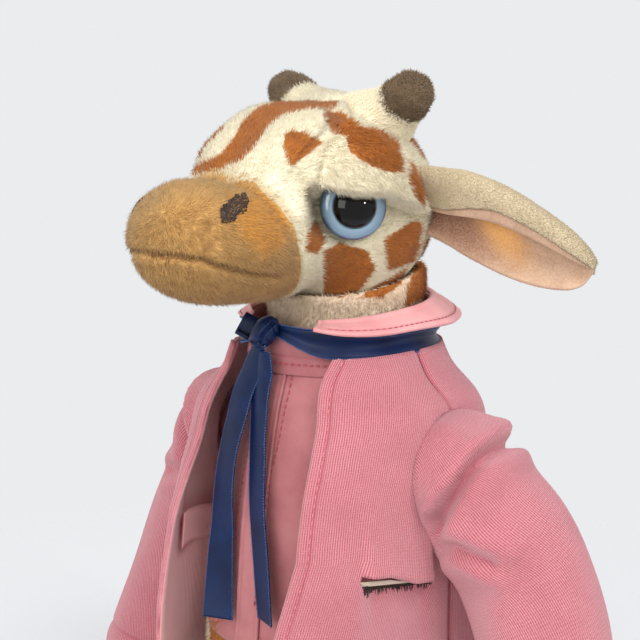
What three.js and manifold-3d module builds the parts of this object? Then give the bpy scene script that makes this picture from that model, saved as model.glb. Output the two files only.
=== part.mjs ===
// A seated plush giraffe in an open knitted jacket, a woven shirt and a ribbon tied at the neck.
// Millimetres, +Z up. The giraffe looks along -Y, its own left side is +X, and it sits on z = 0.
import * as THREE from "three";
import { mergeVertices } from "three/addons/utils/BufferGeometryUtils.js";
import Module from "manifold-3d";

const wasm = await Module();
wasm.setup();

// Fits
const clearance = 0.4; // gap between pieces that touch
const overrun = 8; // how far a cutting tool runs past what it cuts

// Stuffed body
const torso = { height: 158, width: 83, front: 46, back: 38, squareness: 2.3, sides: 28 };
const hip = { radius: 16.5, spread: 23, forward: 33, lift: 1 };
const leg = { length: 95, ankleRadius: 13.2, splayDegrees: 8, raiseDegrees: 15 };
const backHoof = { length: 22, radius: 14.6 };
const tail = { radius: 3, reach: 62, height: 24, tuftRadius: 7, tuftLength: 26, recess: 2 };

// Head
const neck = { rise: 51, taperShare: 0.96, sides: 24 };
const cranium = { radius: 33, forward: 5, sides: 24 };
const snout = { seamForward: 42.5, drop: 8.5, seamTiltDegrees: 27, seamWidth: 48, seamHeight: 42.6 };
const muzzle = { length: 35.5, width: 53, height: 41.5 };
const eye = { radius: 10.3, thickness: 4, pupilRadius: 6.5, pupilHeight: 3, azimuthDegrees: 52, riseDegrees: 4 };
const eyePost = { radius: 1.9, length: 7, washerRadius: 6, washerThickness: 1.4 };
const eyelid = { hood: 14, brow: 7, root: 3 };
const nostril = { length: 11, height: 4.4, thickness: 0.9 };
const horn = { length: 19.5, baseRadius: 12, neckRadius: 7, tipRadius: 7.6, leanDegrees: 38, spread: 16, back: 6 };
const ear = { length: 55, width: 28, thickness: 2.2, lining: 1.3, cup: 7, dropDegrees: 19.5, sweepDegrees: 105 };
const earRoot = { back: 13, radius: 1.6, height: 19, rise: 3 };
const mane = { halfWidth: 5, height: 4.6 };

// Clothes
const shirt = { cloth: 1, length: 90, placketWidth: 10, placketCloth: 0.8 };
const stand = { cloth: 1.2, frontHeight: 14.5, backHeight: 20 };
const fall = { cloth: 1.2, spread: 9, opening: 12 };
const jacket = { cloth: 2.4, ease: 0.7, flare: 18, seatEase: 7, length: 110, neckDrop: 4, squareness: 3 };
const pocket = { rise: 45, mouth: 3.6, tape: 1, lining: 0.8, depth: 9 };
const sleeve = { radius: 21, cloth: 2.6, cuffRadius: 20, wallRadius: 18, inset: 3.6 };
const arm = { rootRadius: 12.4, shoulderDrop: 30.5, reach: 89.5, wrist: 9, swing: 34, back: 8, rightForwardDegrees: 9 };
const shirtSleeve = { cloth: 1.2 };
const frontHoof = { length: 23, radius: 14.5 };

// Ribbon
const ribbon = { width: 10, cloth: 0.8, bandHeight: 6, bandRise: 5, tailLength: 83, tailSpread: 9, pinch: 5 };
const knot = { width: 9.6, depth: 7.2, height: 10.8, rise: 13 };
const loop = { radius: 1.9, width: 6 };

const radians = THREE.MathUtils.degToRad;
const lerp = THREE.MathUtils.lerp;
const at = (x, forward, z) => new THREE.Vector3(x, -forward, z);

// Values worked out from the sizes above
const torsoHalf = torso.width / 2;
const shirtOuter = clearance + shirt.cloth;
const placketOuter = shirtOuter + clearance + shirt.placketCloth;
const standInner = clearance;
const standOuter = standInner + stand.cloth;
const jacketHalf = torsoHalf + shirtOuter + jacket.ease + jacket.cloth;
const jacketTop = torso.height + jacket.neckDrop;
const jacketHem = jacketTop - jacket.length;
const shirtHem = torso.height - shirt.length;
const shoulderHeight = torso.height - arm.shoulderDrop;
const armPlane = jacketHalf + clearance;
const armHole = arm.rootRadius + clearance + shirtSleeve.cloth + clearance;
const shoulderSide = armPlane + sleeve.inset;
const headHeight = torso.height + neck.rise;
const hipHeight = hip.radius + hip.lift;

// Shapes

// A table's row at a share of the way along it. Each row starts with its own share.
function rowAt(table, share) {
  let high = 1;
  while (high < table.length - 1 && table[high][0] < share) high += 1;
  const [low, next] = [table[high - 1], table[high]];
  const part = THREE.MathUtils.clamp((share - low[0]) / (next[0] - low[0]), 0, 1);
  return low.slice(1).map((value, i) => lerp(value, next[i + 1], part));
}

// A point on a rounded body section; angle 0 is the front and a quarter turn is the left side.
function sectionPoint(section, squareness, angle, z) {
  const bend = 2 / squareness;
  const across = Math.sign(Math.sin(angle)) * Math.abs(Math.sin(angle)) ** bend;
  const along = Math.sign(Math.cos(angle)) * Math.abs(Math.cos(angle)) ** bend;
  return at(section.half * across, (along > 0 ? section.front : section.back) * along, z);
}

const grow = (section, offset) => ({
  half: section.half + offset,
  front: section.front + offset,
  back: section.back + offset,
});

// Triangles become one closed body with its faces pointing out.
function closedBody(vertices, triangles) {
  let volume = 0;
  const cross = new THREE.Vector3();
  for (const [a, b, c] of triangles) {
    volume += vertices[a].dot(cross.crossVectors(vertices[b], vertices[c]));
  }
  const faces = volume < 0 ? triangles.map(([a, b, c]) => [a, c, b]) : triangles;
  const geometry = new THREE.BufferGeometry();
  const points = faces.flat().flatMap((i) => vertices[i].toArray());
  geometry.setAttribute("position", new THREE.Float32BufferAttribute(points, 3));
  return geometry;
}

// Skins a row of closed rings and caps both ends.
function loft(rings) {
  const count = rings[0].length;
  const vertices = rings.flat();
  const triangles = [];
  for (let r = 0; r < rings.length - 1; r += 1) {
    for (let i = 0; i < count; i += 1) {
      const [a, b] = [r * count + i, r * count + ((i + 1) % count)];
      triangles.push([a, b, b + count], [a, b + count, a + count]);
    }
  }
  for (const [ring, first] of [[rings[0], 0], [rings[rings.length - 1], vertices.length - count]]) {
    const middle = ring.reduce((sum, p) => sum.add(p), new THREE.Vector3()).divideScalar(count);
    const tip = vertices.push(middle) - 1;
    for (let i = 0; i < count; i += 1) {
      const [a, b] = [first + i, first + ((i + 1) % count)];
      triangles.push(first === 0 ? [a, tip, b] : [a, b, tip]);
    }
  }
  return closedBody(vertices, triangles);
}

// A cloth panel: point(u, v, offset) gives its surface, and two offsets give its thickness.
function panel(point, acrossSteps, alongSteps, inner, outer, closed = false) {
  const vertices = [];
  const columns = closed ? acrossSteps : acrossSteps + 1;
  for (const offset of [inner, outer]) {
    for (let j = 0; j <= alongSteps; j += 1) {
      for (let i = 0; i < columns; i += 1) vertices.push(point(i / acrossSteps, j / alongSteps, offset));
    }
  }
  const back = columns * (alongSteps + 1);
  const index = (i, j) => j * columns + (i % columns);
  const triangles = [];
  const quad = (a, b, c, d) => triangles.push([a, b, c], [a, c, d]);
  for (let j = 0; j < alongSteps; j += 1) {
    for (let i = 0; i < acrossSteps; i += 1) {
      const [a, b, c, d] = [index(i, j), index(i + 1, j), index(i + 1, j + 1), index(i, j + 1)];
      quad(a, d, c, b);
      quad(back + a, back + b, back + c, back + d);
    }
  }
  for (let i = 0; i < acrossSteps; i += 1) {
    quad(index(i, 0), index(i + 1, 0), back + index(i + 1, 0), back + index(i, 0));
    quad(index(i + 1, alongSteps), index(i, alongSteps), back + index(i, alongSteps), back + index(i + 1, alongSteps));
  }
  for (let j = 0; !closed && j < alongSteps; j += 1) {
    quad(index(0, j + 1), index(0, j), back + index(0, j), back + index(0, j + 1));
    quad(index(acrossSteps, j), index(acrossSteps, j + 1), back + index(acrossSteps, j + 1), back + index(acrossSteps, j));
  }
  return closedBody(vertices, triangles);
}

// A stuffed limb: round rings square to a path, with a domed or a flat root and end.
function limb(path, radii, sides, { domeRoot = true, domeEnd = false, limit = (p) => p } = {}) {
  const curve = new THREE.CatmullRomCurve3(path);
  const steps = radii.length - 1;
  const rings = [];
  const ring = (centre, tangent, radius) => {
    const across = new THREE.Vector3(1, 0, 0).projectOnPlane(tangent).normalize();
    const up = new THREE.Vector3().crossVectors(tangent, across);
    const points = [];
    for (let i = 0; i < sides; i += 1) {
      const angle = (i / sides) * 2 * Math.PI;
      const point = centre.clone();
      point.addScaledVector(across, radius * Math.cos(angle));
      point.addScaledVector(up, radius * Math.sin(angle));
      points.push(limit(point));
    }
    rings.push(points);
  };
  const dome = (t, radius, sign) => {
    const tangent = curve.getTangent(t);
    for (const degrees of sign < 0 ? [78, 52, 26] : [26, 52, 78]) {
      const centre = curve.getPoint(t).addScaledVector(tangent, sign * radius * Math.sin(radians(degrees)));
      ring(centre, tangent, radius * Math.cos(radians(degrees)));
    }
  };
  if (domeRoot) dome(0, radii[0], -1);
  radii.forEach((radius, i) => ring(curve.getPoint(i / steps), curve.getTangent(i / steps), radius));
  if (domeEnd) dome(1, radii[steps], 1);
  return loft(rings);
}

// Closed geometry to a solid that can be cut, and back.
function solid(geometry, matrix = new THREE.Matrix4()) {
  const bare = geometry.index ? geometry.toNonIndexed() : geometry.clone();
  const only = new THREE.BufferGeometry();
  only.setAttribute("position", bare.getAttribute("position"));
  const merged = mergeVertices(only.applyMatrix4(matrix), 1e-4);
  return new wasm.Manifold(
    new wasm.Mesh({
      numProp: 3,
      vertProperties: merged.attributes.position.array,
      triVerts: new Uint32Array(merged.index.array),
    }),
  );
}

function shape(manifold) {
  const mesh = manifold.getMesh();
  const geometry = new THREE.BufferGeometry();
  geometry.setAttribute("position", new THREE.Float32BufferAttribute(mesh.vertProperties, 3));
  geometry.setIndex(new THREE.BufferAttribute(mesh.triVerts, 1));
  return geometry;
}

const move = (x, forward, z) => new THREE.Matrix4().makeTranslation(at(x, forward, z));
const scale = (factor) => new THREE.Matrix4().makeScale(factor, factor, factor);

// A round bar along X, from one side position to another.
function crossBar(radius, from, to, forward, z, sides = 20) {
  const bar = new THREE.CylinderGeometry(radius, radius, Math.abs(to - from), sides);
  bar.rotateZ(Math.PI / 2);
  return solid(bar, move((from + to) / 2, forward, z));
}

// Materials, one for each finish
const finish = (color, roughness, metalness = 0) => new THREE.MeshStandardMaterial({ color, roughness, metalness });
const creamPlush = finish("#ebe4c9", 0.95);
const creamNeck = finish("#e8d9c0", 0.95);
const tanPlush = finish("#c89a58", 0.95);
const hoofPlush = finish("#8a5a34", 0.95);
const hornPlush = finish("#6e6050", 0.95);
const brownPlush = finish("#a9602f", 0.95);
const earSuede = finish("#e6c3aa", 0.9);
const darkThread = finish("#2e1c12", 0.7);
const irisPlastic = finish("#94b4d2", 0.25);
const pupilPlastic = finish("#050506", 0.08);
const washerPlastic = finish("#e6e6e2", 0.5);
const pinkKnit = finish("#e0808f", 0.95);
const pinkKnitInside = finish("#d27f86", 0.95);
const pinkWoven = finish("#d98d90", 0.75);
const pinkCollar = finish("#ee9da2", 0.8);
const creamTape = finish("#d8d0bc", 0.8);
const navySatin = finish("#243f7c", 0.3);

const giraffe = new THREE.Group();
const pieces = new Map();

function add(name, geometry, material, group = giraffe) {
  const mesh = new THREE.Mesh(geometry, material.clone());
  mesh.name = name;
  group.add(mesh);
  pieces.set(name, mesh);
}

function placed(x, forward, z, parent = giraffe) {
  const group = new THREE.Group();
  group.position.copy(at(x, forward, z));
  parent.add(group);
  return group;
}

const sideName = (side) => (side > 0 ? "left" : "right");

// Torso: share of the height, then of the half width, the front depth and the back depth
const torsoShares = [
  [0, 0.78, 0.74, 0.76],
  [0.03, 0.91, 0.88, 0.9],
  [0.13, 1, 0.98, 1],
  [0.32, 1, 1, 1],
  [0.5, 0.97, 0.96, 0.95],
  [0.665, 0.9, 0.91, 0.89],
  [0.79, 0.83, 0.85, 0.84],
  [0.92, 0.74, 0.76, 0.76],
  [1, 0.645, 0.675, 0.68],
];

function torsoSection(z) {
  const [half, front, back] = rowAt(torsoShares, z / torso.height);
  return { half: half * torsoHalf, front: front * torso.front, back: back * torso.back };
}

const torsoPoint = (angle, z, offset) => sectionPoint(grow(torsoSection(z), offset), torso.squareness, angle, z);
const torsoTop = torsoSection(torso.height);
const torsoRows = torsoShares.map((row) => row[0]);

// The angle just short of a quarter turn that leaves half a gap to the side seam.
const sideSeam = (depth, squareness) => Math.acos((clearance / 2 / depth) ** (squareness / 2));

// How far the front of the torso stands forward, x to the side of its middle.
function frontOf(x, z, offset) {
  const section = grow(torsoSection(z), offset);
  const share = Math.min(Math.abs(x) / section.half, 1);
  return section.front * (1 - share ** torso.squareness) ** (1 / torso.squareness);
}

// The room that a leg needs to swing from lifted to straight down, as a side outline.
function legSwing(side) {
  const radius = hip.radius + clearance;
  const reach = torso.front;
  const lifted = radius + reach * Math.tan(radians(leg.raiseDegrees));
  const outline = new THREE.Shape();
  outline.absarc(0, 0, radius, Math.PI / 2, 0, true);
  outline.lineTo(radius, -hipHeight - overrun);
  outline.lineTo(-reach, -hipHeight - overrun);
  outline.lineTo(-reach, lifted);
  const width = 2 * radius + overrun;
  const slot = new THREE.ExtrudeGeometry(outline, { depth: width, bevelEnabled: false, curveSegments: 10 });
  const turn = new THREE.Matrix4().makeBasis(at(0, -1, 0), at(0, 0, 1), at(1, 0, 0));
  const start = side > 0 ? hip.spread - radius : -hip.spread + radius - width;
  return solid(slot, move(start, hip.forward, hipHeight).multiply(turn));
}

function buildTorso() {
  const rings = torsoRows.map((share) => {
    const z = share * torso.height;
    const step = (2 * Math.PI) / torso.sides;
    return Array.from({ length: torso.sides }, (_, i) => torsoPoint(i * step, z, 0));
  });
  let body = solid(loft(rings));
  for (const side of [1, -1]) {
    body = body.subtract(legSwing(side));
    const seat = armSeat(side);
    body = body.subtract(crossBar(armHole, seat, side * armPlane, 0, shoulderHeight));
  }
  const socket = new THREE.SphereGeometry(tail.radius + 2 * clearance, 16, 10);
  body = body.subtract(solid(socket, move(0, -tailRootBack(), tail.height)));
  add("torso", shape(body), creamPlush);
}

// The arm's round root seats against a flat on the side of the torso.
function armSeat(side) {
  return side * (torsoSection(shoulderHeight).half - arm.rootRadius / 4);
}

// Legs and hooves
function buildLeg(side) {
  const group = placed(side * hip.spread, hip.forward, hipHeight);
  const splay = radians(leg.splayDegrees);
  const along = (distance, rise) => at(side * distance * Math.sin(splay), distance * Math.cos(splay), rise);
  const sink = hip.radius - leg.ankleRadius;
  const path = [along(0, 0), along(leg.length / 2, -sink / 2), along(leg.length, -sink)];
  const radiusShares = [0, 0.1, 0.35, 0.7, 0.95, 1];
  const radii = radiusShares.map((share) => lerp(hip.radius, leg.ankleRadius, share));
  add(sideName(side) + "_leg", limb(path, radii, 16), creamPlush, group);
  const start = leg.length + 2 * clearance;
  const hoofSink = hip.radius - backHoof.radius;
  const hoofPath = [along(start, -hoofSink), along(start + backHoof.length / 2, -hoofSink)];
  hoofPath.push(along(start + backHoof.length, -hoofSink));
  const hoofShares = [0.92, 1, 0.98, 0.88, 0.68];
  const hoofRadii = hoofShares.map((share) => share * backHoof.radius);
  const hoof = limb(hoofPath, hoofRadii, 14, { domeRoot: false });
  add(sideName(side) + "_back_hoof", hoof, hoofPlush, group);
}

// Tail with a tuft
function tailRootBack() {
  return torsoSection(tail.height).back + tail.radius - tail.recess;
}

function buildTail() {
  const group = placed(0, -tailRootBack(), tail.height);
  const lowest = tail.tuftRadius + clearance - tail.height;
  const path = [at(0, 0, 0), at(0, -tail.reach * 0.3, lowest * 0.55), at(0, -tail.reach, lowest)];
  const radiusShares = [1, 1, 0.95, 0.9, 0.85, 0.8];
  add("tail", limb(path, radiusShares.map((share) => share * tail.radius), 10), creamPlush, group);
  const start = -tail.reach - clearance;
  const tuftPath = [at(0, start, lowest), at(0, start - tail.tuftLength / 2, lowest)];
  tuftPath.push(at(0, start - tail.tuftLength, lowest));
  const tuftShares = [0.5, 0.85, 1, 0.9, 0.62, 0.2];
  const tuftRadii = tuftShares.map((share) => share * tail.tuftRadius);
  add("tail_tuft", limb(tuftPath, tuftRadii, 12, { domeRoot: false }), brownPlush, group);
}

// Head, in its own group with the middle of the cranium at the origin
const seamTilt = radians(snout.seamTiltDegrees);

// A point of an oval ring across the snout. The ring leans forward at its top by a tilt, and its top can be squarer.
function snoutPoint({ forward, rise, tilt, half, height, squareness = 2 }, angle, offset = 0) {
  const bend = Math.cos(angle) > 0 ? 2 / squareness : 1;
  const up = (height + offset) * Math.sign(Math.cos(angle)) * Math.abs(Math.cos(angle)) ** bend;
  const across = (half + offset) * Math.sign(Math.sin(angle)) * Math.abs(Math.sin(angle)) ** bend;
  return at(across, forward + up * Math.sin(tilt), rise + up * Math.cos(tilt));
}

function snoutRing(ring) {
  const step = (2 * Math.PI) / cranium.sides;
  return Array.from({ length: cranium.sides }, (_, i) => snoutPoint(ring, i * step));
}

const seamRing = {
  forward: snout.seamForward,
  rise: -snout.drop,
  tilt: seamTilt,
  half: snout.seamWidth / 2,
  height: snout.seamHeight / 2,
  squareness: 2.2,
};

// Between cranium and seam: shares of the way forward, of the drop and of the tilt, then the half width and the height
// as shares of the cranium's radius, and how square the brow is
const bridgeShares = [
  [0.3, -0.35, 0.12, 0.85, 0.86, 2.9],
  [0.66, 0.15, 0.55, 0.76, 0.77, 2.7],
];
const craniumFrontShare = 0.37;

function buildHead() {
  const rings = [];
  for (const degrees of [20, 42, 62, 80, 97]) {
    const polar = radians(degrees);
    const radius = cranium.radius * Math.sin(polar);
    rings.push({ forward: -cranium.radius * Math.cos(polar), rise: 0, tilt: 0, half: radius, height: radius });
  }
  const frontForward = craniumFrontShare * cranium.radius;
  const frontRadius = Math.sqrt(cranium.radius ** 2 - frontForward ** 2);
  rings.push({ forward: frontForward, rise: 0, tilt: 0, half: frontRadius, height: frontRadius, squareness: 2.4 });
  for (const [way, drop, tilt, half, height, squareness] of bridgeShares) {
    rings.push({
      forward: lerp(frontForward, seamRing.forward, way),
      rise: drop * seamRing.rise,
      tilt: tilt * seamTilt,
      half: half * cranium.radius,
      height: height * cranium.radius,
      squareness,
    });
  }
  rings.push(seamRing);
  return loft(rings.map(snoutRing));
}

// Muzzle: share of its length, then of the seam's tilt, of the half width and of the half height
const muzzleShares = [
  [0, 1, 0.905, 1.026],
  [0.22, 0.66, 0.98, 0.985],
  [0.46, 0.33, 0.97, 0.94],
  [0.69, 0.11, 0.88, 0.84],
  [0.875, 0, 0.66, 0.61],
  [0.97, 0, 0.36, 0.33],
  [1, 0, 0.08, 0.08],
];

function muzzleRing(share) {
  const [tilt, half, height] = rowAt(muzzleShares, share);
  return {
    forward: seamRing.forward + clearance * Math.cos(seamTilt) + share * muzzle.length,
    rise: seamRing.rise - clearance * Math.sin(seamTilt) * (1 - share),
    tilt: tilt * seamTilt,
    half: (half * muzzle.width) / 2,
    height: (height * muzzle.height) / 2,
    squareness: lerp(seamRing.squareness, 2, share),
  };
}

// Eyes: rings, domes and posts are turned about an axis that points out of the head
const eyeSeat = cranium.radius - 2;

function eyeDirection(side) {
  const azimuth = radians(eye.azimuthDegrees);
  const rise = radians(eye.riseDegrees);
  return at(side * Math.sin(azimuth) * Math.cos(rise), Math.cos(azimuth) * Math.cos(rise), Math.sin(rise));
}

function outward(direction, distance) {
  const turn = new THREE.Quaternion().setFromUnitVectors(new THREE.Vector3(0, 1, 0), direction);
  const place = direction.clone().multiplyScalar(distance);
  return new THREE.Matrix4().compose(place, turn, new THREE.Vector3(1, 1, 1));
}

const turned = (profile, sides) => new THREE.LatheGeometry(profile.map(([r, h]) => new THREE.Vector2(r, h)), sides);

function eyeTools(side) {
  const direction = eyeDirection(side);
  const room = eye.radius + clearance;
  const socket = turned([[0, 0], [room, 0], [room, cranium.radius], [0, cranium.radius]], 22);
  const boreRadius = eyePost.washerRadius + clearance;
  const bore = new THREE.CylinderGeometry(boreRadius, boreRadius, 2 * eyePost.length + 2 * clearance, 14);
  return solid(socket, outward(direction, eyeSeat)).add(solid(bore, outward(direction, eyeSeat)));
}

// The room that the eye takes in front of its seat, which the eyelid is hollowed for.
function eyeRoom(side) {
  const top = clearance + eye.thickness + clearance;
  const room = eye.radius + clearance;
  const domeRoom = eye.pupilRadius + clearance;
  const profile = [[0, 0], [room, 0], [room, top], [domeRoom, top + eye.pupilHeight / 2]];
  profile.push([domeRoom / 2, top + eye.pupilHeight], [0, top + eye.pupilHeight]);
  return solid(turned(profile, 22), outward(eyeDirection(side), eyeSeat));
}

function buildEye(side, head) {
  const name = sideName(side);
  const group = new THREE.Group();
  group.applyMatrix4(outward(eyeDirection(side), eyeSeat + clearance));
  head.add(group);
  const bevel = eye.thickness / 4;
  const recess = eye.thickness / 3;
  const pupilWell = eye.pupilRadius + clearance;
  const iris = turned([
    [0, -eyePost.length],
    [eyePost.radius, -eyePost.length],
    [eyePost.radius, 0],
    [eye.radius - bevel, 0],
    [eye.radius, bevel],
    [eye.radius, eye.thickness - 2 * bevel],
    [eye.radius - bevel, eye.thickness - bevel / 2],
    [pupilWell, eye.thickness],
    [pupilWell, eye.thickness - recess],
    [0, eye.thickness - recess],
  ], 22);
  add(name + "_eye_iris", iris, irisPlastic, group);
  const floor = eye.thickness - recess + clearance;
  const domeTop = eye.thickness + eye.pupilHeight;
  const rim = eye.thickness;
  const pupil = turned([
    [0, floor],
    [eye.pupilRadius, floor],
    [eye.pupilRadius, rim],
    [eye.pupilRadius * 0.86, lerp(rim, domeTop, 0.5)],
    [eye.pupilRadius * 0.5, lerp(rim, domeTop, 0.87)],
    [0, domeTop],
  ], 18);
  add(name + "_eye_pupil", pupil, pupilPlastic, group);
  const hole = eyePost.radius + clearance;
  const washerTop = -clearance - eyePost.length / 3;
  const washerBase = washerTop - eyePost.washerThickness;
  const washer = turned([
    [hole, washerBase],
    [eyePost.washerRadius, washerBase],
    [eyePost.washerRadius, washerTop],
    [hole, washerTop],
    [hole, washerBase],
  ], 14);
  add(name + "_eye_washer", washer, washerPlastic, group);
}

// A point off the cranium by azimuth and rise.
function headPoint(azimuth, rise, radius) {
  return at(Math.sin(azimuth) * Math.cos(rise) * radius, Math.cos(azimuth) * Math.cos(rise) * radius, Math.sin(rise) * radius);
}

// Eyelid: share of the way from the nose to the ear, then azimuth, lower and upper rise in degrees, and the hood's share
const eyelidShares = [
  [0, 24, 22, 33, 0.55],
  [0.2, 37, 12, 43, 0.92],
  [0.4, 51, 9.5, 45, 1],
  [0.6, 65, 9, 40, 0.85],
  [0.8, 79, 5, 27, 0.6],
  [1, 92, 1, 10, 0.3],
];

function buildEyelid(side, headCutter) {
  const point = (u, v, inside) => {
    const [azimuth, low, high, hood] = rowAt(eyelidShares, u);
    const bulge = lerp(eyelid.hood, eyelid.brow, v ** 2) * hood;
    const radius = cranium.radius + (inside ? -eyelid.root : bulge);
    return headPoint(side * radians(azimuth), radians(lerp(low, high, v)), radius);
  };
  const hood = solid(panel(point, 10, 4, true, false));
  return shape(hood.subtract(headCutter).subtract(eyeRoom(side)));
}

function buildNostril(side) {
  const middle = 0.42;
  const turnDegrees = 49;
  const point = (u, v, offset) => {
    const share = middle + ((u - 0.5) * nostril.length) / muzzle.length;
    const spread = (v - 0.5) * (nostril.height / muzzle.height) * 2 * (1 - (2 * u - 1) ** 4);
    const angle = radians(turnDegrees) + spread + (u - 0.5) * 0.5;
    return snoutPoint(muzzleRing(share), side * angle, offset);
  };
  return panel(point, 6, 3, clearance, clearance + nostril.thickness);
}

function buildHorn(side, head, headCutter) {
  const name = sideName(side);
  const lean = radians(horn.leanDegrees);
  const rise = Math.sqrt(cranium.radius ** 2 - horn.spread ** 2 - horn.back ** 2);
  const place = new THREE.Matrix4().compose(
    at(side * horn.spread, -horn.back, rise),
    new THREE.Quaternion().setFromUnitVectors(new THREE.Vector3(0, 1, 0), at(side * Math.sin(lean), 0, Math.cos(lean))),
    new THREE.Vector3(1, 1, 1),
  );
  const joinShare = 0.42;
  const join = joinShare * horn.length;
  const cone = turned([
    [0, -horn.baseRadius],
    [horn.baseRadius, -horn.baseRadius],
    [horn.baseRadius, 0],
    [lerp(horn.neckRadius, horn.baseRadius, 0.4), join / 2],
    [horn.neckRadius, join],
    [0, join],
  ], 18);
  add(name + "_horn", shape(solid(cone, place).subtract(headCutter)), creamPlush, head);
  const tipLength = horn.length - join - clearance;
  const start = join + clearance;
  const tip = turned([
    [0, start],
    [horn.neckRadius, start],
    [horn.tipRadius, start + tipLength * 0.3],
    [horn.tipRadius * 0.95, start + tipLength * 0.6],
    [horn.tipRadius * 0.65, start + tipLength * 0.9],
    [0, horn.length],
  ], 18).applyMatrix4(place);
  add(name + "_horn_tip", tip, hornPlush, head);
}

// Ear: share of its length, then of the half width and of the cup
const earShares = [
  [0, 0.74, 0],
  [0.07, 0.8, 0.1],
  [0.25, 0.93, 0.9],
  [0.45, 1, 1],
  [0.65, 0.95, 0.85],
  [0.82, 0.78, 0.6],
  [0.94, 0.48, 0.3],
  [1, 0.18, 0.1],
];

function buildEar(side, head) {
  const name = sideName(side);
  const rootSide = Math.sqrt(cranium.radius ** 2 - earRoot.back ** 2);
  const group = placed(side * (rootSide + earRoot.radius * 0.6), -earRoot.back, earRoot.rise, head);
  const sweep = radians(ear.sweepDegrees);
  const drop = radians(ear.dropDegrees);
  const along = at(side * Math.sin(sweep), Math.cos(sweep), 0);
  const front = at(-side * Math.cos(sweep), Math.sin(sweep), 0);
  const leaf = (start) => (u, v, offset) => {
    const share = lerp(start, 1, u);
    const [half, cup] = rowAt(earShares, share);
    const across = 2 * v - 1;
    const point = along.clone().multiplyScalar(ear.length * share * Math.cos(drop));
    const sag = share * lerp(0.55, 1, share);
    point.z = across * half * (ear.width / 2) - ear.length * sag * Math.sin(drop);
    return point.addScaledVector(front, cup * ear.cup * across ** 2 - offset);
  };
  const tab = new THREE.CylinderGeometry(earRoot.radius, earRoot.radius, earRoot.height, 12);
  tab.rotateX(Math.PI / 2);
  const outer = panel(leaf(0), 9, 6, -ear.thickness / 2, ear.thickness / 2);
  add(name + "_ear", shape(solid(outer).add(solid(tab))), creamPlush, group);
  const liningFace = -ear.thickness / 2 - clearance;
  const lining = panel(leaf(0.1), 9, 6, liningFace - ear.lining, liningFace);
  add(name + "_ear_lining", lining, earSuede, group);
  return group;
}

function earGroove(side) {
  const rootSide = Math.sqrt(cranium.radius ** 2 - earRoot.back ** 2);
  const room = earRoot.radius + clearance;
  const bar = new THREE.CylinderGeometry(room, room, cranium.radius, 14);
  bar.rotateX(Math.PI / 2);
  return solid(bar, move(side * (rootSide + earRoot.radius * 0.6), -earRoot.back, earRoot.rise));
}

// Mane: rises over the back of the head, from between the horns down to the nape.
function buildMane(headCutter) {
  const [topRise, lowRise] = [radians(64), radians(2)];
  const point = (u, v, inside) => {
    const rise = lerp(topRise, lowRise, v);
    const taper = Math.sin(Math.PI * lerp(0.12, 0.9, v)) ** 0.5;
    const ridge = 1 - 0.45 * (2 * u - 1) ** 2;
    const radius = inside ? cranium.radius - overrun / 4 : cranium.radius + mane.height * taper * ridge;
    const back = radius * Math.cos(rise);
    return at((2 * u - 1) * mane.halfWidth, -back, radius * Math.sin(rise));
  };
  return shape(solid(panel(point, 4, 8, true, false)).subtract(headCutter));
}

function buildHeadAndFace() {
  const head = placed(0, cranium.forward, headHeight);
  const plain = buildHead();
  const headCutter = solid(plain, scale(1 + clearance / cranium.radius));
  let skull = solid(plain);
  for (const side of [1, -1]) skull = skull.subtract(eyeTools(side)).subtract(earGroove(side));
  add("head", shape(skull), creamPlush, head);
  const rings = muzzleShares.map((row) => snoutRing(muzzleRing(row[0])));
  add("muzzle", loft(rings), tanPlush, head);
  for (const side of [1, -1]) {
    buildEye(side, head);
    add(sideName(side) + "_eyelid", buildEyelid(side, headCutter), creamPlush, head);
    add(sideName(side) + "_nostril", buildNostril(side), darkThread, head);
    buildHorn(side, head, headCutter);
    buildEar(side, head);
  }
  add("mane", buildMane(headCutter), brownPlush, head);
}

// Neck: a round stuffed tube, hollowed at the top where the head rolls on it
function buildNeck() {
  const radius = Math.min(torsoTop.half, torsoTop.back);
  const base = torso.height + clearance;
  const top = headHeight - 0.6 * cranium.radius;
  const ring = (share) => {
    const size = radius * lerp(1, neck.taperShare, share);
    const step = (2 * Math.PI) / neck.sides;
    const point = (_, i) => at(size * Math.sin(i * step), size * Math.cos(i * step), lerp(base, top, share));
    return Array.from({ length: neck.sides }, point);
  };
  const socket = new THREE.SphereGeometry(cranium.radius + clearance, 28, 18);
  const tube = solid(loft([ring(0), ring(0.5), ring(1)]));
  add("neck", shape(tube.subtract(solid(socket, move(0, cranium.forward, headHeight)))), creamNeck);
}

// Shirt: two fronts under a placket, and a back
function buildShirt() {
  const rows = 8;
  const cloth = (from, to) => (u, v, offset) =>
    torsoPoint(lerp(from, to, u), lerp(shirtHem, torso.height, v), offset);
  const side = sideSeam(torsoHalf, torso.squareness);
  const middle = Math.PI / 2 - side;
  const panels = [
    ["shirt_left_front", middle, side, 8],
    ["shirt_right_front", -side, -middle, 8],
    ["shirt_back", Math.PI - side, Math.PI + side, 14],
  ];
  for (const [name, from, to, steps] of panels) {
    let cut = solid(panel(cloth(from, to), steps, rows, clearance, shirtOuter));
    for (const end of [1, -1]) {
      cut = cut.subtract(crossBar(armHole, (end * torsoHalf) / 2, end * armPlane, 0, shoulderHeight));
    }
    add(name, shape(cut), pinkWoven);
  }
  const strip = (u, v, offset) => {
    const x = (u - 0.5) * shirt.placketWidth;
    const z = lerp(shirtHem + clearance, torso.height - clearance, v);
    return at(x, frontOf(x, z, offset), z);
  };
  add("shirt_placket", panel(strip, 3, 10, shirtOuter + clearance, placketOuter), pinkWoven);
}

// Collar: a stand around the neck and a fall turned down over it
const standTop = (angle) => {
  const backShare = (1 - Math.cos(angle)) / 2;
  return torso.height + lerp(stand.frontHeight, stand.backHeight, backShare);
};

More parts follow.
